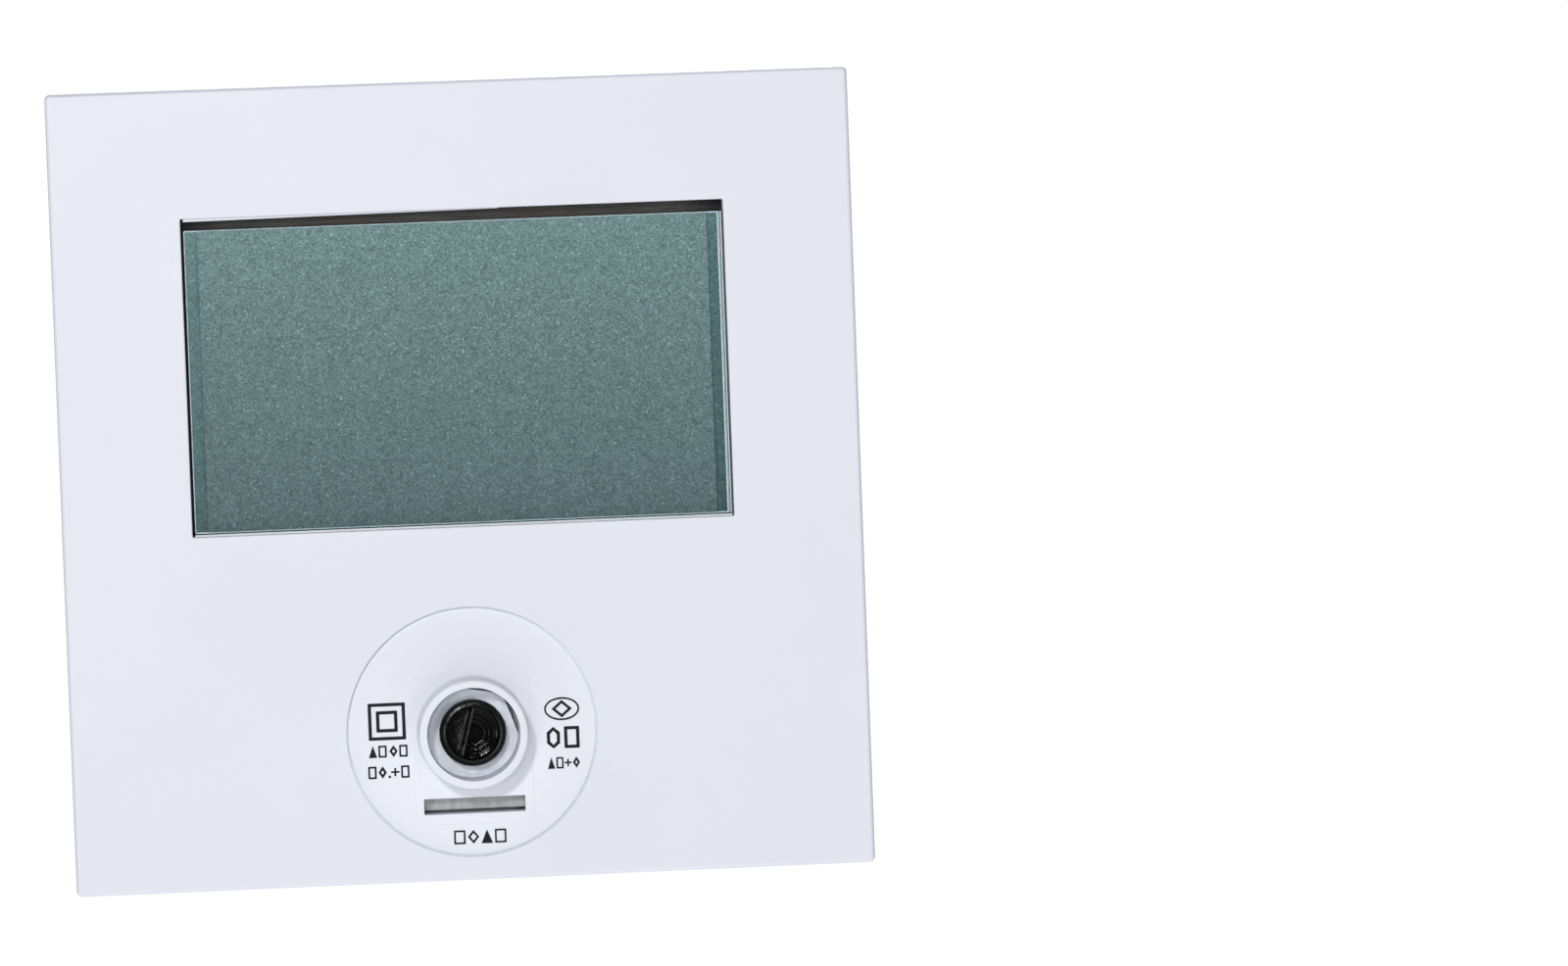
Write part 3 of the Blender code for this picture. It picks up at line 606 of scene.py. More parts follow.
def soften(obj, width, angle=35):
    """Rounds the edges where faces meet at more than the angle, in degrees."""
    bevel = obj.modifiers.new("soften", "BEVEL")
    bevel.width = width
    bevel.segments = 2
    bevel.limit_method = "ANGLE"
    bevel.angle_limit = math.radians(angle)
    bevel.harden_normals = False
    return obj


def dress(piece, body, slot, *nodes):
    """The piece rides on a body and stands for the nodes given, which are hidden. slot is not used."""
    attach(piece, body)
    if nodes:
        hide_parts(*nodes)
    return piece


# ---------------------------------------------------------------- cover


# Air slots in the top and bottom walls
VENTS = 9
VENT_PITCH = 6 * MM
VENT_WIDTH = 1.8 * MM
VENT_REAR = 8 * MM
VENT_FRONT = 18 * MM


def vent_cutter(side):
    """Round-ended air slots through a top (side 1) or bottom (side -1) wall."""
    bm = bmesh.new()
    middle = (VENT_REAR + VENT_FRONT) / 2
    half_length = (VENT_FRONT - VENT_REAR) / 2
    radius = VENT_WIDTH / 2 - 0.01 * MM
    ends = (COVER_INSIDE - PAST, HALF + PAST)
    sections = [(out, VENT_WIDTH / 2, half_length, radius) for out in ends]
    for n in range(VENTS):
        x = (n - (VENTS - 1) / 2) * VENT_PITCH
        first = len(bm.verts)
        loft_into(bm, sections, steps=5)
        bm.verts.ensure_lookup_table()
        for vert in bm.verts[first:]:
            out = -vert.co.y
            vert.co = Vector((vert.co.x + x, -middle + vert.co.z, side * out))
    return add("vents", bm)


def front_cover():
    """The plate with its rounded edges, window, knob recess, faint pad, collar and slot."""
    body = [(COVER_REAR, HALF - REAR_EDGE, HALF - REAR_EDGE, CORNER_ROUND - REAR_EDGE)]
    body += [(COVER_REAR + REAR_EDGE, HALF, HALF, CORNER_ROUND)]
    body += front_rounding(FRONT, HALF, HALF, CORNER_ROUND, FRONT_ROUND)
    cover = loft("cover_shell", body, materials=(COVER,))

    inside_round = 0.6 * MM
    inside = [(COVER_REAR - PAST, COVER_INSIDE, COVER_INSIDE, inside_round)]
    inside += front_rounding(INSIDE_FRONT, COVER_INSIDE, COVER_INSIDE, inside_round, 0.5 * MM)

    window_z = (WINDOW_LOW + WINDOW_HIGH) / 2
    window_half = (WINDOW_HIGH - WINDOW_LOW) / 2
    window_round = 0.15 * MM
    window = [(INSIDE_FRONT - PAST, WINDOW_X, window_half, window_round)]
    window += mouth(FRONT, WINDOW_X, window_half, window_round, 0.16 * MM)

    groove = 0.2 * MM
    recess = [
        (0, FLOOR),
        (DISC_RADIUS - groove, FLOOR),
        (DISC_RADIUS - groove, FLOOR - groove),
        (DISC_RADIUS, FLOOR - groove),
        (DISC_RADIUS, FRONT),
        (DISC_RADIUS + PAST, FRONT + PAST),
        (0, FRONT + PAST),
    ]
    recess = rounded(recess, (0, 0.07 * MM, 0.05 * MM, 0.05 * MM, 0.12 * MM, 0, 0))

    pad_x, pad_half, pad_round = 6.4 * MM, 7.9 * MM, 0.3 * MM
    pad_z = KNOB_Z - 2.0 * MM
    pad = [(FLOOR - 0.4 * MM, pad_x, pad_half, pad_round)]
    pad += front_rounding(FLOOR + PAD, pad_x, pad_half, pad_round, 0.8 * PAD, 3)

    collar_rear = INSIDE_FRONT + 0.4 * MM
    foot = COLLAR_RADIUS + 1.2 * MM
    collar = [
        (0, COLLAR_FRONT),
        (COLLAR_RADIUS, COLLAR_FRONT),
        (COLLAR_RADIUS + 0.06 * MM, FLOOR + PAD),
        (foot, FLOOR + PAD - 0.005 * MM),
        (foot, collar_rear),
        (0, collar_rear),
    ]
    collar = rounded(collar, (0, 0.3 * MM, 0.35 * MM, 0, 0, 0), steps=6)
    bore = [
        (0, INSIDE_FRONT - PAST),
        (COLLAR_BORE, INSIDE_FRONT - PAST),
        (COLLAR_BORE, COLLAR_FRONT),
        (COLLAR_BORE + PAST, COLLAR_FRONT + PAST),
        (0, COLLAR_FRONT + PAST),
    ]
    bore = rounded(bore, (0, 0, 0.22 * MM, 0, 0))

    slot_z = (SLOT_LOW + SLOT_HIGH) / 2
    slot_half = (SLOT_HIGH - SLOT_LOW) / 2
    slot_round = 0.12 * MM
    slot = [(INSIDE_FRONT - PAST, SLOT_X, slot_half, slot_round)]
    slot += mouth(FLOOR + PAD, SLOT_X, slot_half, slot_round, 0.08 * MM)

    catch_x = SLOT_X + 0.5 * MM
    catch_span = ((-catch_x, catch_x), (CATCH_REAR, INSIDE_FRONT + 0.5 * MM), (CATCH_LOW, SLOT_LOW))
    catch = boxes("catch", [catch_span])
    pocket_span = ((-SLOT_X, SLOT_X), (POCKET_REAR, POCKET_FRONT), (POCKET_LOW, POCKET_HIGH))
    pocket = boxes("pocket", [pocket_span])
    carve(
        cover,
        [
            ("DIFFERENCE", loft("inside", inside)),
            ("DIFFERENCE", loft("window", window, z=window_z)),
            ("DIFFERENCE", lathe("recess", recess, 0, KNOB_Z, sides=160)),
            ("UNION", loft("pad", pad, z=pad_z)),
            ("UNION", lathe("collar", collar, 0, KNOB_Z)),
            ("UNION", catch),
            ("DIFFERENCE", lathe("bore", bore, 0, KNOB_Z)),
            ("DIFFERENCE", loft("slot", slot, z=slot_z)),
            ("DIFFERENCE", pocket),
            ("DIFFERENCE", vent_cutter(1)),
            ("DIFFERENCE", vent_cutter(-1)),
        ],
    )
    finish_surface(cover)
    dress(cover, "cover", "cover_plastic", "front_cover")


# ---------------------------------------------------------------- printed marks


INK_BASE = FLOOR - 0.02 * MM
INK_TOP = FLOOR + 0.02 * MM


def prism_into(bm, points, rear=INK_BASE, front=INK_TOP):
    """A flat patch with this outline, as thick as the ink unless other depths are given."""
    close_rings(bm, [[bm.verts.new((x, -depth, z)) for x, z in points] for depth in (rear, front)])


def band_into(bm, inner, outer):
    """A closed line of ink between two outlines with equal numbers of points."""
    loops = []
    for line, depths in ((inner, (INK_BASE, INK_TOP)), (outer, (INK_TOP, INK_BASE))):
        loops += [[bm.verts.new((x, -depth, z)) for x, z in line] for depth in depths]
    for n in range(4):
        join_rings(bm, loops[n - 1], loops[n])


def ellipse(x, z, half_x, half_z, count=40):
    """Points round an upright ellipse."""
    turns = [2 * math.pi * n / count for n in range(count)]
    return [(x + half_x * math.cos(t), z + half_z * math.sin(t)) for t in turns]


def shifted(points, x, z):
    """The points moved by x and z."""
    return [(x + px, z + pz) for px, pz in points]


def plus_points(x, z, reach, half_line):
    """Points round a plus sign: three corners, turned by a quarter four times."""
    corners = [(reach, -half_line), (reach, half_line), (half_line, half_line)]
    points = []
    for _ in range(4):
        points += shifted(corners, x, z)
        corners = [(-pz, px) for px, pz in corners]
    return points


def polygon(x, z, half_x, half_z, turns):
    """Points round an upright shape at these turns, 0 being to the right and 0.25 up."""
    return [(x + half_x * math.cos(math.tau * t), z + half_z * math.sin(math.tau * t)) for t in turns]


def token(bm, kind, x, z, half_x, half_z, line):
    """One of a few plain outlined signs, none of them a letter."""
    if kind == "box":
        inner = outline(half_x - line, half_z - line, 0.03 * MM, 1)
        band_into(bm, shifted(inner, x, z), shifted(outline(half_x, half_z, 0.06 * MM, 1), x, z))
    elif kind == "gem":
        turns = (0, 0.25, 0.5, 0.75)
        thick = line * 1.45
        inner = polygon(x, z, half_x - thick, half_z - thick * half_z / half_x, turns)
        band_into(bm, inner, polygon(x, z, half_x, half_z, turns))
    elif kind == "cell":
        turns = [n / 6 + 1 / 12 for n in range(6)]
        thick = line * 1.15
        inner = polygon(x, z, half_x - thick, half_z - thick, turns)
        band_into(bm, inner, polygon(x, z, half_x, half_z, turns))
    elif kind == "peak":
        prism_into(bm, [(x - half_x, z - half_z), (x + half_x, z - half_z), (x, z + half_z)])
    elif kind == "dot":
        prism_into(bm, ellipse(x, z - half_z * 0.75, line * 0.7, line * 0.7, 14))
    elif kind == "plus":
        prism_into(bm, plus_points(x, z, half_x, line / 2))


def printed_marks():
    """Generic signs in the places where the real plate is printed."""
    bm = bmesh.new()
    left, right = -9.12 * MM, 9.72 * MM
    icon_z = KNOB_Z + 1.46 * MM
    for half_size in (2.0 * MM, 1.15 * MM):
        token(bm, "box", left, icon_z, half_size, half_size, 0.36 * MM)
    oval_z, oval_line = KNOB_Z + 2.05 * MM, 0.20 * MM
    inner = ellipse(right, oval_z, 1.9 * MM - oval_line, 1.25 * MM - oval_line)
    band_into(bm, inner, ellipse(right, oval_z, 1.9 * MM, 1.25 * MM))
    token(bm, "gem", right, oval_z, 1.1 * MM, 0.95 * MM, 0.30 * MM)
    # Each row's middle and signs, and in mm each sign's place along the row, the row's height over
    # the knob's axis, half the width and height of a sign, and the thickness of its line
    rows = (
        (left, ("peak", "box", "gem", "box"), (-1.62, -0.58, 0.6, 1.66), -1.75, 0.45, 0.65, 0.20),
        (left, ("box", "gem", "dot", "plus", "box"), (-1.75, -0.65, 0.1, 0.7, 1.78), -4.0, 0.45, 0.67, 0.20),
        (right, ("cell", "box"), (-1.0, 0.98), -1.05, 0.82, 1.18, 0.35),
        (right, ("peak", "box", "plus", "gem"), (-1.32, -0.4, 0.48, 1.38), -3.78, 0.39, 0.62, 0.18),
        (0.44 * MM, ("box", "gem", "peak", "box"), (-2.2, -0.72, 0.74, 2.2), -11.35, 0.62, 0.75, 0.20),
    )
    for x, kinds, offsets, z, half_x, half_z, line in rows:
        for kind, offset in zip(kinds, offsets):
            token(bm, kind, x + offset * MM, KNOB_Z + z * MM, half_x * MM, half_z * MM, line * MM)
    marks = add("printed_marks", bm, INK)
    dress(marks, "cover", "black_plastic")


# ---------------------------------------------------------------- display


def slab(name, low, high, edge, materials):
    """A thin plate between two corners, its front edge rounded. A second material goes on its sides."""
    corner = 0.1 * MM
    half_x, half_z = (high.x - low.x) / 2, (high.z - low.z) / 2
    sections = [(-high.y, half_x, half_z, corner)]
    sections += front_rounding(-low.y, half_x, half_z, corner, edge, 3)
    piece = loft(name, sections, (low.x + high.x) / 2, (low.z + high.z) / 2, materials, steps=3)
    if len(materials) > 1:
        for face in piece.data.polygons:
            if abs(face.normal.y) < 0.98:
                face.material_index = 1
    return piece


def display():
    """The two glass plates and the front film, with what lines the window round them."""
    film = slab("display_film", FILM_LOW, FILM_HIGH, 0.05 * MM, (FILM,))
    dress(finish_surface(film), "base", "display_film", "lcd_front_polarizer")
    glass = slab("display_glass", GLASS_LOW, GLASS_HIGH, 0.12 * MM, (GLASS, EDGE_HIGHLIGHT))
    dress(finish_surface(glass), "base", "display_glass", "lcd_front_glass")
    rear_low, rear_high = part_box("lcd_rear_glass")
    rear = slab("display_rear_glass", rear_low, rear_high, 0.12 * MM, (GLASS, EDGE_HIGHLIGHT))
    dress(finish_surface(rear), "base", "display_glass", "lcd_rear_glass")
    seals_light_and_shade()
    right_wall_shade()
    window_lip()


def seals_light_and_shade():
    """Dark foam above and left of the glass, partly painted shade; a pale lip below and right, painted
    light; and the glass's bright rim, a painted highlight.
    """
    right, bottom, top = GLASS_HIGH.x, GLASS_LOW.z, GLASS_HIGH.z
    gap = 0.06 * MM
    margin = 1.2 * MM
    rear = 21.42 * MM
    outer_x, outer_low, outer_high = WINDOW_X + margin, WINDOW_LOW - margin, WINDOW_HIGH + margin
    side_top = top + 0.02 * MM
    # Dark foam above and left of the glass: partly painted shade cast by the window's top and left edges.
    foam_and_shade_above = ((-outer_x, outer_x), (rear, 22.0 * MM), (top + gap, outer_high))
    foam_and_shade_left = ((-outer_x, -right - gap), (rear, 21.95 * MM), (outer_low, side_top))
    dark = boxes("display_gasket_and_shade", [foam_and_shade_above, foam_and_shade_left], (GASKET_AND_SHADE,))
    # Pale lip right of and below the glass, whiter than the plate: painted light on the window's lit right
    # and lower walls.
    lip_right = ((right + gap, outer_x), (rear, 22.14 * MM), (bottom - gap, side_top))
    lip_below = ((-right, outer_x), (rear, 22.9 * MM), (outer_low, bottom - gap - 0.05 * MM))
    painted_light_lip = boxes("display_lip_painted_light", [lip_right, lip_below], (LIT_LIP_PAINTED,))
    # Pale strips along the glass's right, lower and upper edges: a painted highlight.
    depth = (22.2 * MM, -GLASS_LOW.y + 0.03 * MM)
    line = 0.14 * MM
    across = (0.1 * MM - right, right - 0.2 * MM)
    rim_right = ((right - 0.3 * MM, right - line), depth, (bottom + line, top - 0.1 * MM))
    rim_below = (across, depth, (bottom, bottom + line))
    rim_above = (across, depth, (top - 0.08 * MM, top))
    rim = boxes("glass_rim_highlight", [rim_right, rim_below, rim_above], (RIM_HIGHLIGHT,))
    for piece, slot in ((dark, "rubber"), (painted_light_lip, "base_plastic"), (rim, "display_glass")):
        soften(piece, 0.03 * MM)
        dress(finish_surface(piece), "base", slot)


def right_wall_shade():
    """A thin dark strip lining the window's right wall, and sunk a little into it: painted shade on that
    wall.
    """
    across = (WINDOW_X - 0.13 * MM, WINDOW_X + 0.05 * MM)
    depth = (22.35 * MM, FRONT - 0.22 * MM)
    upright = (WINDOW_LOW + 0.05 * MM, WINDOW_HIGH - 1.2 * MM)
    shade_strip = boxes("window_wall_shade", [(across, depth, upright)], (WALL_SHADE,))
    soften(shade_strip, 0.02 * MM)
    dress(finish_surface(shade_strip), "cover", "rubber")


def window_lip():
    """A thin moulded lip behind the top edge of the window, tapering off to the right."""
    start, end = -WINDOW_X + 0.3 * MM, 5 * MM
    front, rear = FRONT - 0.55 * MM, FRONT - 1.2 * MM
    top = WINDOW_HIGH + 0.1 * MM
    points = [(start, top), (start, top - 0.42 * MM), (end, top - 0.18 * MM), (end, top)]
    bm = bmesh.new()
    prism_into(bm, points, rear, front)
    lip = add("window_lip", bm, COVER)
    soften(lip, 0.04 * MM)
    dress(finish_surface(lip), "cover", "cover_plastic")


# ---------------------------------------------------------------- knob seat


def encoder_shaft():
    """The shaft end: rounded rim, stepped socket, and a keyed half with sloped edges and a groove."""
    stem = 2.0 * MM
    rear = -SHAFT_HIGH.y
    head_rear = HEAD_FRONT - 1.3 * MM
    # The rim's rounding, as (radius, drop) in mm
    rim = [(2.92, 0), (3.06, 0.012), (3.2, 0.05), (3.34, 0.115), (3.47, 0.22), (3.56, 0.38)]
    profile = [(0, HEAD_FRONT)] + [(r * MM, HEAD_FRONT - drop * MM) for r, drop in rim]
    profile += [
        (HEAD_RADIUS, HEAD_FRONT - 0.56 * MM),
        (HEAD_RADIUS, HEAD_FRONT - 1.2 * MM),
        (HEAD_RADIUS - 0.1 * MM, head_rear),
        (stem, head_rear),
        (stem, rear + 0.2 * MM),
        (stem - 0.2 * MM, rear),
        (0, rear),
    ]
    shaft = lathe("shaft_end", profile, 0, KNOB_Z, (BLACK, BLACK_RIM))

    socket_radius = 2.95 * MM
    key_top = HEAD_FRONT - 0.28 * MM
    shallow = [
        (0, key_top),
        (socket_radius - 0.12 * MM, key_top),
        (socket_radius, HEAD_FRONT + 0.03 * MM),
        (0, HEAD_FRONT + 0.03 * MM),
    ]
    shallow = lathe("shallow", shallow, 0, KNOB_Z, sides=80)
    bottom = HEAD_FRONT - 1.05 * MM
    # Three steps up from the bottom, as (radius, rise) in mm
    deep = [
        (0, 0),
        (1.0, 0),
        (1.08, 0.2),
        (1.2, 0.26),
        (1.265, 0.276),
        (1.5, 0.29),
        (1.56, 0.40),
        (1.66, 0.46),
        (1.725, 0.476),
        (2.05, 0.49),
        (2.12, 0.58),
        (2.24, 0.64),
        (2.31, 0.658),
        (2.55, 0.68),
        (2.7, 0.73),
    ]
    deep = [(radius * MM, bottom + rise * MM) for radius, rise in deep]
    deep += [(socket_radius - 0.12 * MM, key_top + 0.05 * MM), (0, key_top + 0.05 * MM)]
    socket = lathe("socket", deep, 0, KNOB_Z, sides=64)

    # What is cut on the key's side is made upright on the axis, and then leans as the key does
    lean = Matrix.Translation((0, 0, KNOB_Z)) @ Matrix.Rotation(math.radians(15), 4, "Y")
    key_edge, reach, beyond = -0.45 * MM, 5 * MM, 30 * MM
    key = boxes("key", [((-reach, key_edge), (20 * MM, beyond), (-reach, reach))])
    key.data.transform(lean)
    carve(socket, [("DIFFERENCE", key)])
    groove_x, groove_z = (-0.98 * MM, -0.80 * MM), (-2.4 * MM, 2.5 * MM)
    cutters = [
        sloped_cutter((-0.60 * MM, key_top), (-0.41 * MM, key_top - 0.038 * MM), 2.6 * MM),
        sloped_cutter((-1.10 * MM, key_top), (-0.95 * MM, key_top - 0.030 * MM), 2.1 * MM),
        boxes("groove", [(groove_x, (key_top - 0.3 * MM, beyond), groove_z)]),
    ]
    for cutter in cutters:
        cutter.data.transform(lean)
    carve(shaft, [("DIFFERENCE", cutter) for cutter in (shallow, socket, *cutters)])
    soften(shaft, 0.02 * MM, 50)
    for face in shaft.data.polygons:
        if math.hypot(face.center.x, face.center.z - KNOB_Z) > socket_radius:
            face.material_index = 1
    dress(finish_surface(shaft), "encoder_shaft", "black_plastic", "encoder_shaft")


def sloped_cutter(start, end, half_z):
    """Cutter for what stands in front of a slope from one (x, depth) to the other."""
    beyond = start[1] + PAST
    corners = [start, end, (end[0], beyond), (start[0], beyond)]
    bm = bmesh.new()
    close_rings(bm, [[bm.verts.new((x, -depth, z)) for x, depth in corners] for z in (-half_z, half_z)])
    return add("slope", bm)


# From the nut's axis to its flats, and how far it is turned, in degrees
NUT_FLATS = 4.5 * MM
NUT_TURN = 20


def hexagon(radius):
    """Corners of a hexagon round the knob's axis, turned as the nut is. radius is to its flats."""
    corner = radius / math.cos(math.pi / 6)
    return polygon(0, KNOB_Z, corner, corner, [NUT_TURN / 360 + (n + 0.5) / 6 for n in range(6)])


def past_flat(turn, rear, front):
    """Cutter for what stands out past the flat that faces this way, in degrees."""
    start, end, half = NUT_FLATS + 0.02 * MM, 9 * MM, 4 * MM
    out = Vector((math.cos(math.radians(turn)), math.sin(math.radians(turn))))
    along = Vector((-out.y, out.x))
    middle = Vector((0, KNOB_Z))
    corners = [(start, -half), (start, half), (end, half), (end, -half)]
    bm = bmesh.new()
    prism_into(bm, [tuple(middle + out * a + along * b) for a, b in corners], rear, front)
    return add("past_flat", bm)


def encoder_nut():
    """A hexagon nut with a chamfered face, on a round skirt that is cut away beside its two upper flats."""
    low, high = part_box("encoder_nut")
    rear, front = -high.y, -low.y
    turned, skirt_front = 4.96 * MM, front - 0.16 * MM
    bm = bmesh.new()
    prism_into(bm, hexagon(NUT_FLATS), rear, front)
    nut = add("hexagon_nut", bm, NICKEL)
    cone = [
        (0, rear - PAST),
        (turned, rear - PAST),
        (turned, front - 0.14 * MM),
        (NUT_FLATS + 0.12 * MM, front),
        (0, front),
    ]
    skirt = [(0, rear), (turned, rear), (turned, skirt_front), (0, skirt_front)]
    bore_radius, bore_mouth = 3.25 * MM, 3.65 * MM
    bore = [
        (0, rear - PAST),
        (bore_radius, rear - PAST),
        (bore_radius, front - 0.3 * MM),
        (bore_mouth, front + 0.1 * MM),
        (0, front + 0.1 * MM),
    ]
    carve(
        nut,
        [
            ("INTERSECT", lathe("cone", cone, 0, KNOB_Z)),
            ("UNION", lathe("skirt", rounded(skirt, (0, 0, 0.06 * MM, 0)), 0, KNOB_Z)),
            ("DIFFERENCE", past_flat(NUT_TURN, rear - PAST, front + PAST)),
            ("DIFFERENCE", past_flat(NUT_TURN + 60, rear - PAST, front + PAST)),
            ("DIFFERENCE", lathe("nut_bore", bore, 0, KNOB_Z)),
        ],
    )
    soften(nut, 0.04 * MM, 25)
    dress(finish_surface(nut), "base", "steel", "encoder_nut")


# ---------------------------------------------------------------- base


BASE_FLOOR = 2.2 * MM
BASE_WALL = 1.6 * MM

# Cable entry
ENTRY_X = 14 * MM
ENTRY_LOW = -22 * MM
ENTRY_HIGH = -4 * MM

# Places of the wall box's screws, and of the bosses near the corners
BOX_SCREW_X = 30 * MM
BOSS_PLACE = 34.6 * MM


def lightening_pockets():
    """Shallow moulded pockets in the rear face, clear of the cable entry, the slots and the middle."""
    depth, flare, corner = 0.5 * MM, 0.15 * MM, 0.9 * MM
    half_x = 8.5 * MM
    columns = (-29.2 * MM, -9.75 * MM, 9.75 * MM, 29.2 * MM)
    places = [(x, z, 6.2 * MM) for x in columns for z in (13.6 * MM, 28.4 * MM)]
    places += [(x, -31.2 * MM, 4.6 * MM) for x in columns]
    places += [(x, -15.2 * MM, 7.6 * MM) for x in (-27.6 * MM, 27.6 * MM)]
    bm = bmesh.new()
    for x, z, half_z in places:
        opening = (half_x + flare, half_z + flare, corner + flare)
        loft_into(bm, [(-PAST, *opening), (0, *opening), (depth, half_x, half_z, corner)], x, z, 5)
    return add("pockets", bm)


def rear_base():
    """The wall tray: rounded rim, flared cable entry, two box screw slots, pockets and screw bosses."""
    low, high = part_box("rear_base")
    half, rim = high.x, -low.y
    edge, corner = 0.3 * MM, 0.7 * MM
    body = [(0, half - edge, half - edge, 0.4 * MM), (edge, half, half, corner)]
    body += front_rounding(rim, half, half, corner, 0.25 * MM, 3)
    tray = loft("base_tray", body, materials=(BASE,))
    inner = half - BASE_WALL
    inside = [(depth, inner, inner, 0.8 * MM) for depth in (BASE_FLOOR, rim + PAST)]
    entry_z, entry_half = (ENTRY_LOW + ENTRY_HIGH) / 2, (ENTRY_HIGH - ENTRY_LOW) / 2
    flare = 0.5 * MM
    entry = [
        (-PAST, ENTRY_X + flare, entry_half + flare, 1.5 * MM),
        (0, ENTRY_X + flare, entry_half + flare, 1.5 * MM),
        (flare, ENTRY_X, entry_half, 1.0 * MM),
        (BASE_FLOOR + PAST, ENTRY_X, entry_half, 1.0 * MM),
    ]
    steps = [
        ("DIFFERENCE", loft("inside", inside)),
        ("DIFFERENCE", loft("entry", entry, z=entry_z)),
        ("DIFFERENCE", lightening_pockets()),
    ]
    slot_round, seat_round, seat_rear = 2.05 * MM, 4.2 * MM, 1.3 * MM
    for x, long_x, long_z in ((-BOX_SCREW_X, 4.0, 2.1), (BOX_SCREW_X, 2.1, 4.0)):
        hole = [(depth, long_x * MM, long_z * MM, slot_round) for depth in (-PAST, BASE_FLOOR + PAST)]
        seat_x, seat_z = (long_x + 2.2) * MM, (long_z + 2.2) * MM
        seat = [(depth, seat_x, seat_z, seat_round) for depth in (seat_rear, BASE_FLOOR + PAST)]
        steps += [("DIFFERENCE", loft("seat", seat, x=x)), ("DIFFERENCE", loft("hole", hole, x=x))]
    boss_radius, boss_rear, boss_front = 2.5 * MM, 1.1 * MM, 10.2 * MM
    boss = [(0, boss_rear), (boss_radius, boss_rear), (boss_radius, boss_front), (0, boss_front)]
    boss = rounded(boss, (0, 0, 0.2 * MM, 0))
    pilot_radius, pilot_rear, pilot_front = 1.3 * MM, 3.5 * MM, 11 * MM
    pilot = [(0, pilot_rear), (pilot_radius, pilot_rear), (pilot_radius, pilot_front), (0, pilot_front)]
    for x in (-BOSS_PLACE, BOSS_PLACE):
        for z in (-BOSS_PLACE, BOSS_PLACE):
            steps += [("UNION", lathe("boss", boss, x, z, sides=32))]
            steps += [("DIFFERENCE", lathe("pilot", pilot, x, z, sides=24))]
    carve(tray, steps)
    dress(finish_surface(tray), "base", "base_plastic", "rear_base")


# ---------------------------------------------------------------- pieces refined from the model


SLOTS = {row["node"]: row["material_slot"] for row in frame["record"]["subparts"]}


def refine(node, material, width):
    """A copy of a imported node, its flat faces merged and its edges rounded, that stands for the node."""
    packed = frame["nodes"][node]
    bm = bmesh.new()
    bm.from_mesh(packed.data)
    bmesh.ops.remove_doubles(bm, verts=bm.verts, dist=0.002 * MM)
    bmesh.ops.dissolve_limit(bm, angle_limit=math.radians(0.6), verts=bm.verts, edges=bm.edges)
    piece = add(f"{node}_finish", bm, material)
    soften(piece, width, 32)
    return dress(finish_surface(piece), packed["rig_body"], SLOTS[node], node)


def solder_joints():
    """Soldered joints on the side of the board that the cable entry shows."""
    rear = -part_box("main_pcb")[1].y
    # Each row's first x, pitch, number of joints and z, in mm
    rows = [(-11.0, 4.4, 6, -24.5), (-13.5, 2.54, 5, -8.0), (3.5, 5.08, 2, -11.5), (-6.0, 5.08, 3, -17.0)]
    # A cone of solder on a flat pad, as (radius, depth from the board) in mm
    cone = [(0, -0.5), (0.16, -0.5), (0.3, -0.44), (0.42, -0.24), (0.62, -0.07)]
    pad = [(0.9, -0.02), (0.9, 0.1), (0, 0.1)]
    profile = [(radius * MM, rear + rise * MM) for radius, rise in cone + pad]
    bm = bmesh.new()
    for first, pitch, count, z in rows:
        for n in range(count):
            lathe_into(bm, profile, (first + pitch * n) * MM, z * MM, sides=24)
    joints = add("solder_joints", bm, STEEL)
    dress(finish_surface(joints), "base", "steel")


def inner_parts():
    """Every other node, refined in its own material, and the board's solder joints."""
    solder_joints()
    coat = plastic("dipped_resin", (0.62, 0.42, 0.06), 0.3).material
    blue = plastic("relay_plastic", (0.03, 0.11, 0.36), 0.36).material
    varistor = plastic("varistor_coat", (0.04, 0.15, 0.45), 0.3).material
    sleeve = plastic("shrink_sleeve", (0.02, 0.02, 0.035), 0.3).material
    green = plastic("terminal_plastic", (0.04, 0.25, 0.09), 0.42).material
    acrylic = plastic("clear_acrylic", (0.72, 0.80, 0.78), 0.12).material
    rubber = plastic("conductive_rubber", (0.03, 0.03, 0.032), 0.75).material
    laminate = board_laminate()
    kinds = [
        (TONGUE_AND_SHADE, 0.15, ["release_latch"]),
        (BASE, 0.05, ["encoder_rotor", "encoder_plunger"]),
        (CHASSIS, 0.2, ["inner_chassis", "lcd_frame"]),
        (FILM, 0.03, ["lcd_rear_polarizer"]),
        (acrylic, 0.1, ["backlight_guide", "backlight_led_1", "backlight_led_2"]),
        (rubber, 0.15, ["zebra_strip"]),
        (STEEL, 0.08, ["encoder_body", "encoder_washer", "backup_capacitor", "crystal"]),
        (STEEL, 0.02, ["shaft_circlip", "switch_dome"]),
        (BRASS, 0.1, ["encoder_bushing"]),
        (laminate, 0.05, ["main_pcb"]),
        (green, 0.2, ["terminal_block"]),
        (blue, 0.15, ["relay"]),
        (coat, 0.15, ["film_capacitor"]),
        (varistor, 0.6, ["varistor"]),
        (sleeve, 0.15, ["electrolytic_capacitor", "filter_choke", "temperature_sensor"]),
        (BLACK, 0.08, ["fuse", "microcontroller"]),
        (STEEL, 0.1, [f"{kind}_screw_{n}" for kind in ("chassis", "board") for n in range(1, 5)]),
        (STEEL, 0.08, [f"terminal_screw_{n}" for n in range(1, 7)]),
        (BRASS, 0.08, [f"terminal_clamp_{n}" for n in range(1, 7)]),
    ]
    for material, width, nodes in kinds:
        for node in nodes:
            refine(node, material, width * MM)


# ---------------------------------------------------------------- room, light and camera


# Brightness of the room: as it lights the object, and as the camera sees it behind the object
ROOM_LIGHT = 0.09
BACKDROP = 1.05

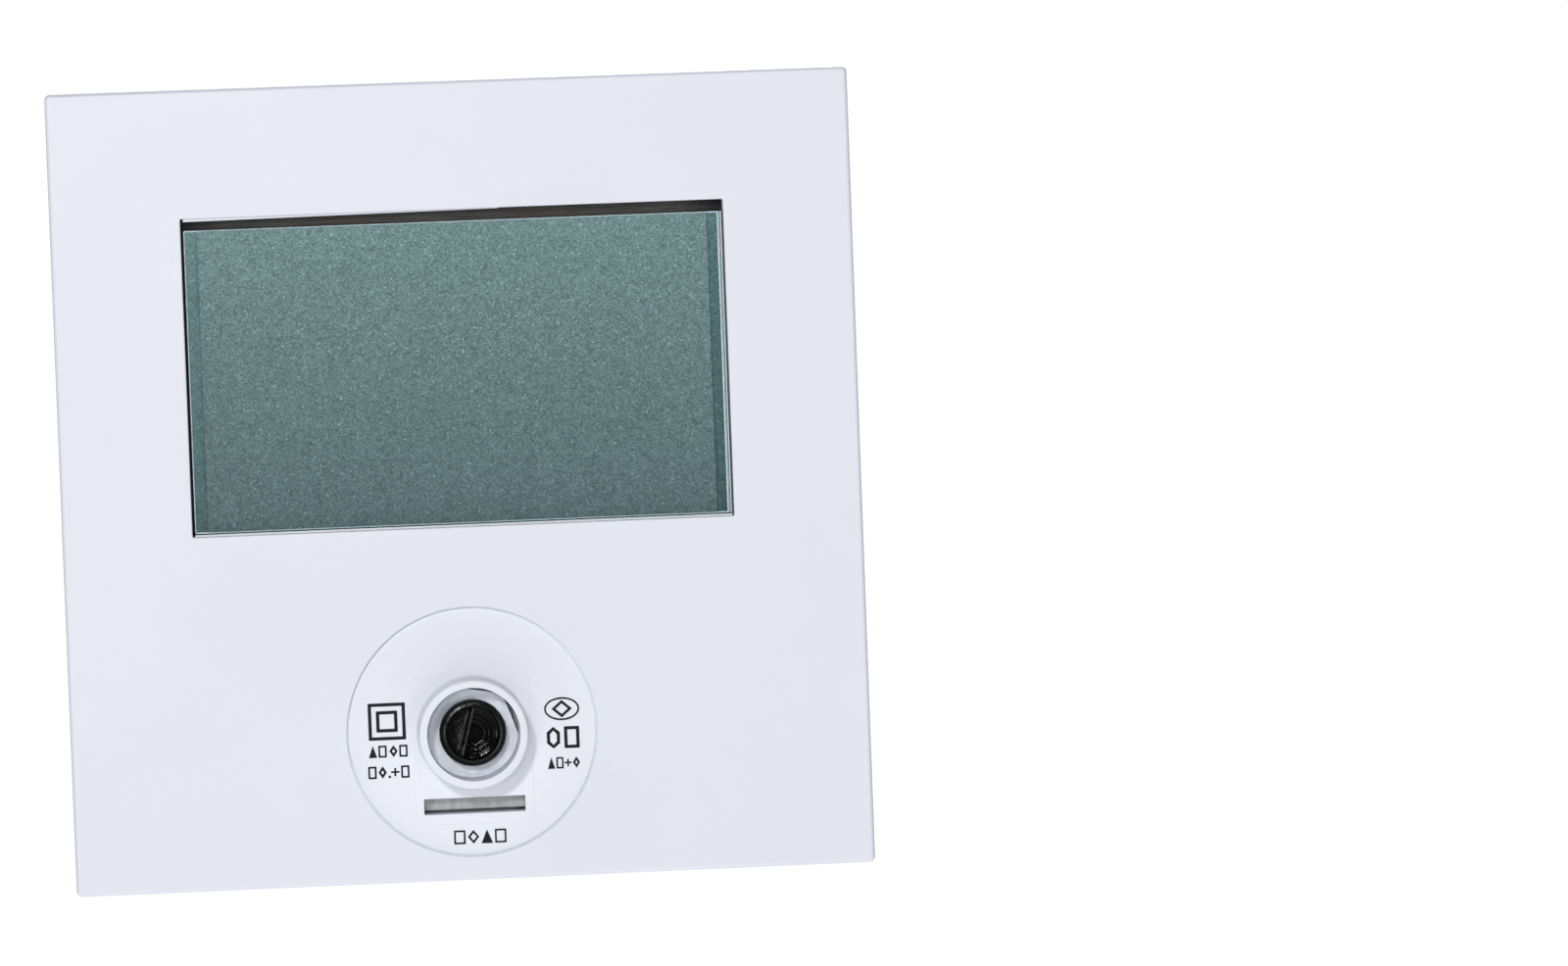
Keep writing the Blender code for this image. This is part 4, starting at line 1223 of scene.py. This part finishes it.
# Each lamp's name, place in metres, size in metres and power in watts
LAMPS = (
    ("key", (-0.24, -1.0, 0.34), 0.11, 3.9),
    ("front", (-0.11, -1.2, 0.13), 0.10, 1.15),
    ("left", (-0.52, -1.2, -0.10), 0.15, 1.1),
    ("fill", (0.44, -1.30, -0.22), 0.35, 1.5),
    ("right", (0.85, -1.45, 0.15), 0.5, 0.6),
    ("top", (0.1, -1.2, 0.9), 0.12, 1.4),
    ("side", (-1.1, -0.35, 0.9), 0.25, 1.6),
    ("back", (0.3, 0.9, 0.8), 0.5, 14.0),
)


def lamp(name, place, size, power):
    """A square lamp aimed at the middle of the object, and not seen by the camera."""
    middle = Vector((0, -0.012, 0))
    data = bpy.data.lights.new(name, "AREA")
    data.size = size
    data.energy = power
    obj = bpy.data.objects.new(name, data)
    obj.location = place
    obj.visible_camera = False
    obj.rotation_euler = (middle - obj.location).to_track_quat("-Z", "Y").to_euler()
    bpy.context.scene.collection.objects.link(obj)


def studio():
    """A pale floor below the object, a white room and the lamps."""
    sections = [(depth, 6, 0.001, 0.0005) for depth in (-3.2, 6)]
    floor = loft("floor", sections, z=-0.55, materials=(pale_floor(),))

    world = bpy.data.worlds.new("studio")
    bpy.context.scene.world = world
    world.use_nodes = True
    nodes, links = world.node_tree.nodes, world.node_tree.links
    background = nodes["Background"]
    background.inputs["Color"].default_value = (1, 1, 1, 1)
    path = nodes.new("ShaderNodeLightPath")
    seen = nodes.new("ShaderNodeMapRange")
    seen.inputs["To Min"].default_value = ROOM_LIGHT
    seen.inputs["To Max"].default_value = BACKDROP
    links.new(path.outputs["Is Camera Ray"], seen.inputs["Value"])
    links.new(seen.outputs["Result"], background.inputs["Strength"])

    for name, place, size, power in LAMPS:
        lamp(name, place, size, power)


def camera():
    """A long lens from the front, a little to the left and above, with the plate left of the middle."""
    data = bpy.data.cameras.new("camera")
    data.sensor_width = 36
    data.lens = 180
    data.clip_start = 0.05
    obj = bpy.data.objects.new("camera", data)
    obj.location = (-34.26 * MM, -864.56 * MM, 37.84 * MM)
    obj.rotation_euler = [math.radians(a) for a in (87.32, 2.11, -4.781)]
    bpy.context.scene.collection.objects.link(obj)
    bpy.context.scene.camera = obj


front_cover()
printed_marks()
display()
encoder_shaft()
encoder_nut()
rear_base()
inner_parts()
studio()
camera()
bpy.context.scene.view_settings.view_transform = "Standard"
